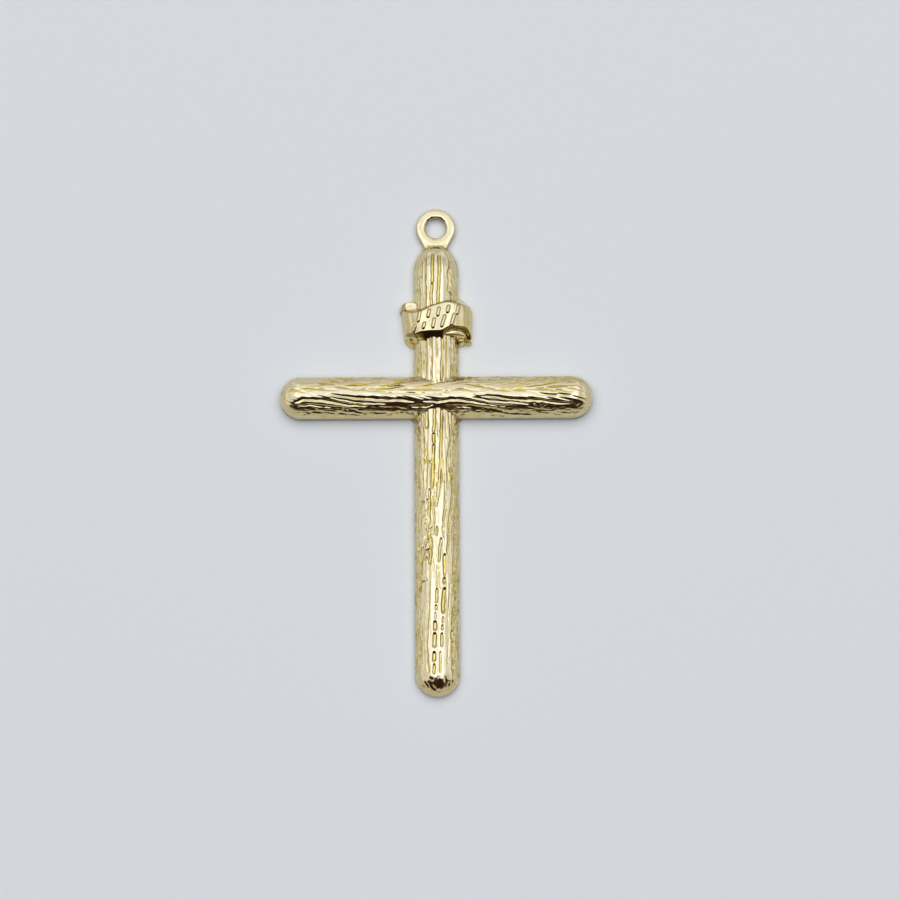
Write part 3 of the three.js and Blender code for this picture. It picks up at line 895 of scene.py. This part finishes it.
# %% [markdown]
# A plain drill would leave the hole with sharp edges. The cutter here is a ball reshaped into a reel:
# straight in the middle and flared at both ends by the rounding, so that one cut gives the hole and its
# soft edges.

# %% Bore of the ring
REEL_OVERRUN = 0.1  # past both faces
REEL_SIDES, REEL_ROWS = 72, 48

select_nothing()
bpy.ops.mesh.primitive_uv_sphere_add(segments=REEL_SIDES, ring_count=REEL_ROWS, radius=1)
reel = bpy.context.object
reel_points = points_of(reel)
height = reel_points[:, 2] * (RING_THICKNESS / 2 + REEL_OVERRUN)
round_the_axis = np.hypot(reel_points[:, 0], reel_points[:, 1])
into_rounding = np.clip(np.abs(height) - (RING_THICKNESS / 2 - RING_ROUNDING), 0, RING_ROUNDING)
flare = RING_ROUNDING - np.sqrt(RING_ROUNDING**2 - into_rounding**2)
wanted = np.where(round_the_axis > NEAR, RING_HOLE_RADIUS + flare, 0)
reel_points[:, :2] *= (wanted / np.maximum(round_the_axis, TINY))[:, None]
reel_points[:, 2] = height
move_points(reel, reel_points + np.array([0, RING_Y, RING_THICKNESS / 2]))
combine(ring, reel, "DIFFERENCE")
print("hole", 2 * RING_HOLE_RADIUS, "wide, bored ring points", len(ring.data.vertices))

# %% [markdown]
# A face that is polished by hand is never quite flat, and a true flat would mirror one dull tone. Cutting
# planes divide the ring's flat faces into cells, and the band between hole and outline gets a slight crown.

# %% Crown of the ring's band
RING_GRID = 0.18  # cells of the flat faces
RING_GRID_REACH = 2.4  # both ways from the ring's middle
RING_CROWN = 0.04  # how much higher the band's middle stands than its edges

select_only(ring)
bpy.ops.object.mode_set(mode="EDIT")
for axis, direction in ((0, (1, 0, 0)), (1, (0, 1, 0))):
    for cut in np.arange(-RING_GRID_REACH, RING_GRID_REACH, RING_GRID):
        middle = Vector((0, RING_Y, 0))
        middle[axis] += cut
        bpy.ops.mesh.select_all(action="SELECT")
        bpy.ops.mesh.bisect(plane_co=middle, plane_no=direction)
bpy.ops.object.mode_set(mode="OBJECT")
ring_points = points_of(ring)
from_hole = np.hypot(ring_points[:, 0], ring_points[:, 1] - RING_Y) - RING_HOLE_RADIUS
across_band = np.clip(from_hole / (RING_RADIUS - RING_HOLE_RADIUS), 0, 1)
fall = RING_CROWN * np.cos(np.pi * across_band) ** 2
ring_points[:, 2] -= fall * ring_points[:, 2] / RING_THICKNESS
move_points(ring, ring_points)
print("ring points", len(ring.data.vertices))

# %% [markdown]
# ## Webs in the corners
#
# Where the bars meet, the die leaves a small web of metal in each inner corner, because a sharp corner
# would tear the sheet. A block is set in the corner and a cone is cut out of it, so that the web is hollow
# towards the open side and slopes a little.

# %% Corner webs
WEB_RADIUS = 0.5
WEB_HEIGHT = 0.62
WEB_FLARE = 0.3
WEB_OVERLAP = 0.12
CONE_OVERRUN = 0.2
CONE_SIDES = 64


def corner_web(right, up):
    corner = (right * UPRIGHT_RADIUS, CROSSBAR_Y + up * CROSSBAR_RADIUS)
    reach = WEB_RADIUS + WEB_OVERLAP
    inset = (WEB_RADIUS - WEB_OVERLAP) / 2
    select_nothing()
    bpy.ops.mesh.primitive_cube_add(
        size=1,
        location=(corner[0] + right * inset, corner[1] + up * inset, WEB_HEIGHT / 2),
        scale=(reach, reach, WEB_HEIGHT),
    )
    web = bpy.context.object
    settle(web)
    select_nothing()
    bpy.ops.mesh.primitive_cone_add(
        vertices=CONE_SIDES,
        radius1=WEB_RADIUS,
        radius2=WEB_RADIUS + WEB_FLARE,
        depth=WEB_HEIGHT + CONE_OVERRUN,
        location=(corner[0] + right * WEB_RADIUS, corner[1] + up * WEB_RADIUS, WEB_HEIGHT / 2),
    )
    cone = bpy.context.object
    settle(cone)
    combine(web, cone, "DIFFERENCE")
    return web


webs = [corner_web(right, up) for right in (-1, 1) for up in (-1, 1)]
print("corner webs", len(webs))

# %% [markdown]
# ## One struck piece
#
# The logs, the scroll and the ring are joined into one closed solid. The back is the hollow that the punch
# leaves: two plain smooth logs, smaller than the front by the thickness of the sheet, are cut away from
# below, and a narrow flat rim stays all round.

# %% Join and hollow
SHEET = 0.7
RIM_WIDTH = 0.55
CUT_DEPTH = 1.0  # how far below the back the cut begins
HOLLOW_COLUMNS = 24  # the hollow is smooth, so few points are enough
HOLLOW_STEP = 3

pendant = upright
for part in (crossbar, scroll, ring, *webs):
    combine(pendant, part, "UNION")


def hollow(length, radius, edge, place, turn):
    inner_edge = CUT_DEPTH + edge + RIM_WIDTH - SHEET
    blank = log_blank(
        "hollow", length - 2 * RIM_WIDTH, radius - RIM_WIDTH, inner_edge, HOLLOW_COLUMNS, HOLLOW_STEP
    )
    blank.location = (*place, -CUT_DEPTH)
    blank.rotation_euler = (0, 0, turn)
    settle(blank)
    return blank


behind_upright = hollow(UPRIGHT_LENGTH, UPRIGHT_RADIUS, TRIMMED_EDGE, (0, UPRIGHT_Y), 0)
combine(pendant, behind_upright, "DIFFERENCE")
behind_crossbar = hollow(SPAN, CROSSBAR_RADIUS, CROSSBAR_EDGE, (0, CROSSBAR_Y), -math.pi / 2)
combine(pendant, behind_crossbar, "DIFFERENCE")
pendant.name = "cross_pendant"
pendant.data.name = "cross_pendant"
pendant.data.calc_loop_triangles()
print("pendant triangles", len(pendant.data.loop_triangles))

# %% [markdown]
# ## Tarnish, painted bounce light and painted shade
#
# A polishing wheel touches what faces it. Tarnish and polishing rouge stay in the grooves and on the steep
# flanks, and the same warm tint paints the bounce light that warms the grooves, so the finish needs to know
# how deep a point lies below the log's smooth surface and how steep the metal is there. A dark painted shade
# goes on the walls of the grooves, where the metal tilts away from that surface, and on the trimmed edge.
# First come the measures: depth and tilt under a log, tilt on the scroll, and the direction that each point
# faces.

# %% Measures of the surface
DEEPEST = 0.25  # deeper than this a point isn't on the log's front
STANDING_OUT = 0.03  # and further out than this it isn't either
SLOPE_STEP = 0.02
RIBBON_DEPTH = 0.45  # how far below the arch a point still counts as the ribbon's


def below_log(points, normals, length, radius, edge, along):
    """Depth under a log's smooth surface, and how far the metal tilts from that surface."""
    out = points.copy()
    half_straight = length / 2 - radius
    out[:, along] -= np.clip(out[:, along], -half_straight, half_straight)
    out[:, 2] -= edge
    distance = np.linalg.norm(out, axis=1)
    depth = radius - distance
    tilt = 1 - (normals * out).sum(axis=1) / np.maximum(distance, TINY)
    on_log = (depth > -STANDING_OUT) & (depth < DEEPEST) & (points[:, 2] > edge)
    return np.where(on_log, depth, DEEPEST), tilt


def off_ribbon(points, normals):
    """How far the metal tilts from the scroll's smooth arch."""
    u, v = points[:, 0], points[:, 1] - SCROLL_Y
    slope = (ribbon_arch(u + SLOPE_STEP, v) - ribbon_arch(u - SLOPE_STEP, v)) / (2 * SLOPE_STEP)
    tilt = 1 - (normals[:, 2] - normals[:, 0] * slope) / np.hypot(1, slope)
    return np.where(points[:, 2] > ribbon_arch(u, v) - RIBBON_DEPTH, tilt, 0)


def normals_by_area(piece):
    """The normal at each point. Large faces count more than small ones, so that flats stay flat."""
    piece.data.calc_loop_triangles()
    corners = np.empty(3 * len(piece.data.loop_triangles), dtype=np.int32)
    piece.data.loop_triangles.foreach_get("vertices", corners)
    corners = corners.reshape(-1, 3)
    first, second, third = (points_of(piece)[corners[:, k]] for k in range(3))
    faces = np.cross(second - first, third - first)
    normals = np.zeros((len(piece.data.vertices), 3))
    for k in range(3):
        np.add.at(normals, corners[:, k], faces)
    return normals / np.maximum(np.linalg.norm(normals, axis=1, keepdims=True), TINY)


print("a point counts as a log's down to", DEEPEST, "mm")

# %% Measure the pendant
points = points_of(pendant)
normals = normals_by_area(pendant)
steep = 1 - normals[:, 2]
straight = points - np.array([0, UPRIGHT_Y, 0])
straight[:, 1] = np.interp(straight[:, 1], DOMED, BALL_ENDED)
above_edge = np.maximum(straight[:, 2] - TRIMMED_EDGE, 0)
straight[:, 2] -= above_edge * (1 - 1 / bluntness(straight[:, 1]))
upright_depth, upright_tilt = below_log(
    straight, normals, UPRIGHT_LENGTH, UPRIGHT_RADIUS, TRIMMED_EDGE, along=1
)
level = points - np.array([0, CROSSBAR_Y, 0])
crossbar_depth, crossbar_tilt = below_log(level, normals, SPAN, CROSSBAR_RADIUS, CROSSBAR_EDGE, along=0)
depth = np.minimum(upright_depth, crossbar_depth)
tilt = np.where(upright_depth < crossbar_depth, upright_tilt, crossbar_tilt)
on_log = depth < DEEPEST
on_crossbar = on_log & (crossbar_depth < upright_depth)
print("points on the logs", int(on_log.sum()), "of", len(points))

# %% [markdown]
# Each point keeps its tarnish with painted bounce light, and its painted shade, as attributes that the
# material can read. The wheel reaches the crossbar's two sides unequally: below, grooves must be deeper to
# take the tint, and less painted shade goes on them. On the flanks the painted shade fills slighter hollows
# than on the crown.

# %% Tarnish with painted bounce light, and painted shade, as attributes
FULL_TARNISH_AND_BOUNCE = 0.1  # depth in millimetres where tarnish and painted bounce light are full
BAR_SIDES = (-0.6, 0.0)  # the bar's lower and upper side, from its middle line
# Tarnish and painted bounce light need deeper grooves below the bar's middle line.
BAR_TARNISH_AND_BOUNCE = (0.16, 0.05)
# Painted shade in the grooves, below and above the bar's middle line.
BAR_PAINTED_SHADE = (0.35, 1.0)
FLANK_SHARE = 0.45
RIBBON_SHARE = 0.25
PLAIN_SHARE = 0.2  # on the ring and the back
# Painted shade on the steep trimmed edges.
EDGE_PAINTED_SHADE = 0.9
SLIGHT_TILT = 0.035  # where the painted shade begins
FULL_TILT = (0.28, 0.13)  # where the painted shade is full, on the crown and on the flanks
FLANK_STEEPNESS = (0.1, 0.5)
EDGE_STEEPNESS = (0.5, 0.9)
BACK_STEEPNESS = 1.5


def keep_attribute(name, values):
    attribute = pendant.data.attributes.new(name, "FLOAT", "POINT")
    attribute.data.foreach_set("value", np.clip(values, 0, 1))
    print(name, "on average", round(float(np.clip(values, 0, 1).mean()), 3))


near_scroll = np.abs(points[:, 1] - SCROLL_Y) < SCROLL_GRID[1] / 2
on_scroll = ~on_log & near_scroll & (steep < BACK_STEEPNESS)
full_tarnish_and_bounce = np.where(on_crossbar, np.interp(level[:, 1], BAR_SIDES, BAR_TARNISH_AND_BOUNCE), FULL_TARNISH_AND_BOUNCE)
tarnish_and_bounce_share = np.where(on_log, depth / full_tarnish_and_bounce, np.where(on_scroll, RIBBON_SHARE, PLAIN_SHARE))
on_flank = smooth_step(steep, *FLANK_STEEPNESS)
# Tarnish and painted bounce light: deeper in the grooves, more on the steep flanks.
keep_attribute("tarnish_and_bounce", tarnish_and_bounce_share + FLANK_SHARE * on_flank)
tilt = np.where(on_scroll, off_ribbon(points, normals), tilt)
# Painted shade along the steep trimmed edges.
painted_edge_shade = EDGE_PAINTED_SHADE * smooth_step(steep, *EDGE_STEEPNESS)
# Painted shade on groove and scroll walls that tilt away from the smooth surface.
painted_wall_shade = smooth_step(tilt, SLIGHT_TILT, FULL_TILT[0] + (FULL_TILT[1] - FULL_TILT[0]) * on_flank)
painted_wall_shade *= np.where(on_crossbar, np.interp(level[:, 1], BAR_SIDES, BAR_PAINTED_SHADE), 1)
keep_attribute("painted_shade", np.where(on_log | on_scroll, painted_wall_shade, painted_edge_shade))

# %% [markdown]
# The measures are taken, so the piece can shrink to metres. Smooth shading rounds everything but the
# real edges, and weighted normals keep the rim and the ring's faces flat beside their roundings.

# %% Shrink to metres and shade
SMOOTH_BELOW = math.radians(50)

pendant.scale = (MM, MM, MM)
settle(pendant)
bpy.ops.object.shade_smooth_by_angle(angle=SMOOTH_BELOW)
apply_modifier(pendant, "WEIGHTED_NORMAL", keep_sharp=True)
print("pendant in metres", [round(side, 4) for side in pendant.dimensions])

# %% [markdown]
# ## The gilding
#
# The metal is brass under a thin pale gold plate. Polished gold takes nearly all its look from what it
# mirrors, so the colour is light and the roughness low. In the grooves a little tarnish and painted bounce
# light make it warmer and duller, painted shade darkens their walls, and fine rubbing marks from wear break
# up the polish on top.

# %% Node and colour helpers
RANGE_SOCKETS = ("From Min", "From Max", "To Min", "To Max")
MIX_A, MIX_B, MIXED = 6, 7, 2  # colour sockets of a Mix node, whose names other sockets share


def linear(hex_colour):
    """An sRGB hex colour as linear light."""
    channels = [int(hex_colour[i : i + 2], 16) / 255 for i in (1, 3, 5)]
    curve = [c / 12.92 if c <= 0.04045 else ((c + 0.055) / 1.055) ** 2.4 for c in channels]
    return (*curve, 1)


def add_node(tree, kind, links=(), inputs=(), **settings):
    """Add a node, set its properties and input values, and link (socket, source) pairs into it."""
    node = tree.nodes.new(kind)
    for name, value in settings.items():
        setattr(node, name, value)
    for socket, value in inputs:
        node.inputs[socket].default_value = value
    for socket, source in links:
        tree.links.new(source, node.inputs[socket])
    return node


def new_material(name):
    material = bpy.data.materials.new(name)
    material.use_nodes = True
    shader = material.node_tree.nodes["Principled BSDF"]
    return material, material.node_tree, shader


print("white in linear light", linear("#FFFFFF"))

# %% Gold plate on struck brass
# Brass struck in a die, plated with pale gold and polished: mirror-bright crowns, hollows warmed by tarnish
# and painted bounce light and dulled by painted shade.
GOLD = linear("#DED3B0")
# Tarnish, and painted bounce light that warms the grooves.
TARNISH_AND_BOUNCE = linear("#D2BB60")
# Painted shade on the walls of the grooves and on steep edges.
PAINTED_SHADE = linear("#7A652B")
PAINTED_SHADE_SHARE = 0.8
MOTTLE_SIZE = 0.5 * MM
MOTTLE_RANGE = (0.35, 0.65)  # of the noise
MOTTLE_STRENGTH = (0.35, 1.4)

gold, tree, shader = new_material("gold_plate_on_struck_brass")
shader.inputs["Metallic"].default_value = 1
place = add_node(tree, "ShaderNodeTexCoord")
tarnish_and_bounce = add_node(tree, "ShaderNodeAttribute", attribute_name="tarnish_and_bounce")
mottle = add_node(
    tree,
    "ShaderNodeTexNoise",
    links=[("Vector", place.outputs["Object"])],
    inputs=[("Scale", 1 / MOTTLE_SIZE), ("Detail", 3)],
)
mottling = add_node(
    tree,
    "ShaderNodeMapRange",
    links=[("Value", mottle.outputs["Fac"])],
    inputs=zip(RANGE_SOCKETS, MOTTLE_RANGE + MOTTLE_STRENGTH),
)
# Tarnish and painted bounce light, broken up by mottling.
tarnish_and_bounce_amount = add_node(
    tree,
    "ShaderNodeMath",
    links=[(0, tarnish_and_bounce.outputs["Fac"]), (1, mottling.outputs["Result"])],
    operation="MULTIPLY",
    use_clamp=True,
)
plating = add_node(
    tree,
    "ShaderNodeMix",
    links=[("Factor", tarnish_and_bounce_amount.outputs[0])],
    inputs=[(MIX_A, GOLD), (MIX_B, TARNISH_AND_BOUNCE)],
    data_type="RGBA",
)
# Painted shade, read from its attribute and mixed over the gold.
painted_shade = add_node(tree, "ShaderNodeAttribute", attribute_name="painted_shade")
painted_shade_amount = add_node(
    tree,
    "ShaderNodeMath",
    links=[(0, painted_shade.outputs["Fac"])],
    inputs=[(1, PAINTED_SHADE_SHARE)],
    operation="MULTIPLY",
)
colour = add_node(
    tree,
    "ShaderNodeMix",
    links=[("Factor", painted_shade_amount.outputs[0]), (MIX_A, plating.outputs[MIXED])],
    inputs=[(MIX_B, PAINTED_SHADE)],
    data_type="RGBA",
)
print(gold.name, "colour nodes", len(tree.nodes))

# %% Wear on the gold plate
WEAR_SIZE = 0.4 * MM  # coarser than real rubbing marks, so that they show
WEAR_DEPTH = 0.006 * MM
WEAR_RANGE = (0.3, 0.7)  # of the noise
POLISH = (0.08, 0.2)  # roughness where it is bright and where it is rubbed

wear = add_node(
    tree,
    "ShaderNodeTexNoise",
    links=[("Vector", place.outputs["Object"])],
    inputs=[("Scale", 1 / WEAR_SIZE), ("Detail", 3)],
)
roughness = add_node(
    tree,
    "ShaderNodeMapRange",
    links=[("Value", wear.outputs["Fac"])],
    inputs=zip(RANGE_SOCKETS, WEAR_RANGE + POLISH),
)
dents = add_node(
    tree,
    "ShaderNodeBump",
    links=[("Height", wear.outputs["Fac"])],
    inputs=[("Distance", WEAR_DEPTH), ("Strength", 1)],
)
tree.links.new(colour.outputs[MIXED], shader.inputs["Base Color"])
tree.links.new(roughness.outputs["Result"], shader.inputs["Roughness"])
tree.links.new(dents.outputs["Normal"], shader.inputs["Normal"])
pendant.data.materials.clear()
pendant.data.materials.append(gold)

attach(pendant, "root")
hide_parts("cross")
print(gold.name, "nodes", len(tree.nodes))

# %% [markdown]
# ## Floor, light and camera
#
# The pendant lies on a pale smooth board, such as coated card. It is only a stage and no part of the
# piece. A flat plane is enough for it, a hair below the pendant so that the two don't flicker.

# %% Floor
FLOOR_SIZE = 0.8
FLOOR_DROP = 0.02 * MM
BOARD = linear("#EFF2F1")
BOARD_SHADED = linear("#EBEEED")
BOARD_FIBRE = 0.4 * MM  # coarser than real fibres, so that they show
BOARD_ROUGHNESS = 0.7

select_nothing()
bpy.ops.mesh.primitive_plane_add(size=FLOOR_SIZE, location=(0, 0, -FLOOR_DROP))
floor = bpy.context.object
floor.name = "floor"
board, tree, shader = new_material("pale_board")
place = add_node(tree, "ShaderNodeTexCoord")
fibre = add_node(
    tree,
    "ShaderNodeTexNoise",
    links=[("Vector", place.outputs["Object"])],
    inputs=[("Scale", 1 / BOARD_FIBRE), ("Detail", 4)],
)
tone = add_node(
    tree,
    "ShaderNodeMix",
    links=[("Factor", fibre.outputs["Fac"])],
    inputs=[(MIX_A, BOARD), (MIX_B, BOARD_SHADED)],
    data_type="RGBA",
)
tree.links.new(tone.outputs[MIXED], shader.inputs["Base Color"])
shader.inputs["Roughness"].default_value = BOARD_ROUGHNESS
floor.data.materials.append(board)
print("floor", FLOOR_SIZE, "m wide")

# %% [markdown]
# Polished metal shows its whole surroundings, so the studio is a soft dome. A wide panel hangs overhead,
# leaning towards the ring. It is brightest to both sides and on the viewer's side, where it ends at a
# dark gap: that gap draws the dark streaks along the crossbar and on the foot. Lamps would give small hard
# lights instead, so the dome is painted by the direction it is seen in.

# %% Panel of the dome
# Edges are where one part of the dome gives way to the next, by the direction it is seen in.
PANEL_LEAN = 0.12
PANEL_NARROWING = 0.65
PANEL_EDGE = (0.28, 0.54)
BRIGHT_FROM = (-0.12, 0.1)

world = bpy.data.worlds.new("studio")
bpy.context.scene.world = world
world.use_nodes = True
tree = world.node_tree
background = tree.nodes["Background"]
direction = add_node(tree, "ShaderNodeTexCoord")
axes = add_node(tree, "ShaderNodeSeparateXYZ", links=[("Vector", direction.outputs["Generated"])])
sideways = add_node(tree, "ShaderNodeMath", links=[(0, axes.outputs["X"])], operation="ABSOLUTE")
squeezed = add_node(
    tree,
    "ShaderNodeMapping",
    links=[("Vector", direction.outputs["Generated"])],
    inputs=[("Location", (0, -PANEL_LEAN, 0)), ("Scale", (PANEL_NARROWING, 1, 0))],
)
from_panel = add_node(
    tree, "ShaderNodeVectorMath", links=[(0, squeezed.outputs["Vector"])], operation="LENGTH"
)
on_panel = add_node(
    tree,
    "ShaderNodeMapRange",
    links=[("Value", from_panel.outputs["Value"])],
    inputs=zip(RANGE_SOCKETS, PANEL_EDGE + (1, 0)),
    interpolation_type="SMOOTHSTEP",
)
towards_viewer = add_node(
    tree,
    "ShaderNodeMath",
    links=[(0, sideways.outputs[0]), (1, axes.outputs["Y"])],
    operation="SUBTRACT",
)
on_bright = add_node(
    tree,
    "ShaderNodeMapRange",
    links=[("Value", towards_viewer.outputs[0])],
    inputs=zip(RANGE_SOCKETS, BRIGHT_FROM),
    interpolation_type="SMOOTHSTEP",
)
print("panel edges", len(tree.nodes), "nodes")

# %% Gap and patches of the dome
GAP_EDGE = (-0.22, -0.08)
GAP_RETREAT = 0.2  # it begins further off to both sides
GAP_HORIZON = (0.08, 0.38)
ROOM_PATCHES = 2.3
PATCH_RANGE = (0.36, 0.64)

past_gap = add_node(
    tree,
    "ShaderNodeMath",
    links=[(0, sideways.outputs[0]), (2, axes.outputs["Y"])],
    inputs=[(1, GAP_RETREAT)],
    operation="MULTIPLY_ADD",
)
outside_gap = add_node(
    tree,
    "ShaderNodeMapRange",
    links=[("Value", past_gap.outputs[0])],
    inputs=zip(RANGE_SOCKETS, GAP_EDGE),
    interpolation_type="SMOOTHSTEP",
)
patches = add_node(
    tree,
    "ShaderNodeTexNoise",
    links=[("Vector", direction.outputs["Generated"])],
    inputs=[("Scale", ROOM_PATCHES), ("Detail", 1)],
)
patchy = add_node(
    tree,
    "ShaderNodeMapRange",
    links=[("Value", patches.outputs["Fac"])],
    inputs=zip(RANGE_SOCKETS, PATCH_RANGE),
    interpolation_type="SMOOTHSTEP",
)
above_horizon = add_node(
    tree,
    "ShaderNodeMapRange",
    links=[("Value", axes.outputs["Z"])],
    inputs=zip(RANGE_SOCKETS, GAP_HORIZON),
    interpolation_type="SMOOTHSTEP",
)
print("dome edges", len(tree.nodes), "nodes")

# %% Light of the dome
# Linear light of the panel, the room and the gap, in red, green and blue.
PANEL = (1.2, 1.26, 1.42, 1)
PANEL_BRIGHT = (1.72, 1.79, 2.0, 1)
ROOM_DIM = (0.62, 0.6, 0.58, 1)
ROOM = (1.06, 1.06, 1.1, 1)
GAP = (0.036, 0.018, 0.009, 1)
GAP_LOW = (0.3, 0.24, 0.2, 1)

gap = add_node(
    tree,
    "ShaderNodeMix",
    links=[("Factor", above_horizon.outputs["Result"])],
    inputs=[(MIX_A, GAP_LOW), (MIX_B, GAP)],
    data_type="RGBA",
)
panel = add_node(
    tree,
    "ShaderNodeMix",
    links=[("Factor", on_bright.outputs["Result"])],
    inputs=[(MIX_A, PANEL), (MIX_B, PANEL_BRIGHT)],
    data_type="RGBA",
)
room = add_node(
    tree,
    "ShaderNodeMix",
    links=[("Factor", patchy.outputs["Result"])],
    inputs=[(MIX_A, ROOM_DIM), (MIX_B, ROOM)],
    data_type="RGBA",
)
lit_room = add_node(
    tree,
    "ShaderNodeMix",
    links=[
        ("Factor", on_panel.outputs["Result"]),
        (MIX_A, room.outputs[MIXED]),
        (MIX_B, panel.outputs[MIXED]),
    ],
    data_type="RGBA",
)
studio = add_node(
    tree,
    "ShaderNodeMix",
    links=[
        ("Factor", outside_gap.outputs["Result"]),
        (MIX_A, gap.outputs[MIXED]),
        (MIX_B, lit_room.outputs[MIXED]),
    ],
    data_type="RGBA",
)
tree.links.new(studio.outputs[MIXED], background.inputs["Color"])
world.cycles_visibility.diffuse = False
print("dome nodes", len(tree.nodes))

# %% [markdown]
# The dome is only what the metal mirrors. The board itself is lit by a round softbox high above, a little to
# the ring's side, so that the shadow stays a narrow line along the pendant's edge.

# %% Softbox
SOFTBOX_HEIGHT = 0.8
SOFTBOX_WIDTH = 1.2
SOFTBOX_LEAN = math.radians(8)
SOFTBOX_POWER = 8.05
SOFTBOX_COLOUR = (0.93, 0.94, 1.0)

bpy.ops.object.light_add(
    type="AREA",
    location=(0, SOFTBOX_HEIGHT * math.tan(SOFTBOX_LEAN), SOFTBOX_HEIGHT),
    rotation=(-SOFTBOX_LEAN, 0, 0),
)
softbox = bpy.context.object
softbox.name = "softbox"
softbox.data.shape = "DISK"
softbox.data.size = SOFTBOX_WIDTH
softbox.data.energy = SOFTBOX_POWER
softbox.data.color = SOFTBOX_COLOUR
softbox.visible_glossy = False
softbox.visible_camera = False
print("softbox", SOFTBOX_POWER, "W at", SOFTBOX_HEIGHT, "m")

# %% [markdown]
# The camera looks down from nearly overhead, tilted a little towards the foot. Its lens follows from the
# pendant's size in the picture, and its place from where the pendant's middle falls there.

# %% Camera
CAMERA_TILT = math.radians(12)
CAMERA_DISTANCE = 0.4
CAMERA_TURN = math.radians(-0.284)
IMAGE_WIDTH = 900
PIXELS_PER_MM = 11.834
ORIGIN_PIXEL = (436.64, 451.97)
SENSOR_WIDTH = 36.0

bpy.ops.object.camera_add()
camera = bpy.context.object
camera.data.sensor_width = SENSOR_WIDTH
camera.data.lens = PIXELS_PER_MM * CAMERA_DISTANCE / MM * SENSOR_WIDTH / IMAGE_WIDTH
camera.rotation_euler = (CAMERA_TILT, 0, CAMERA_TURN)
bpy.context.view_layer.update()
aside = (IMAGE_WIDTH / 2 - ORIGIN_PIXEL[0]) / PIXELS_PER_MM * MM
above = (ORIGIN_PIXEL[1] - IMAGE_WIDTH / 2) / PIXELS_PER_MM * MM
camera.location = camera.matrix_world.to_3x3() @ Vector((aside, above, CAMERA_DISTANCE))
bpy.context.scene.camera = camera
bpy.context.scene.view_settings.view_transform = "Standard"
print("lens", round(camera.data.lens, 1), "mm at", CAMERA_DISTANCE, "m")
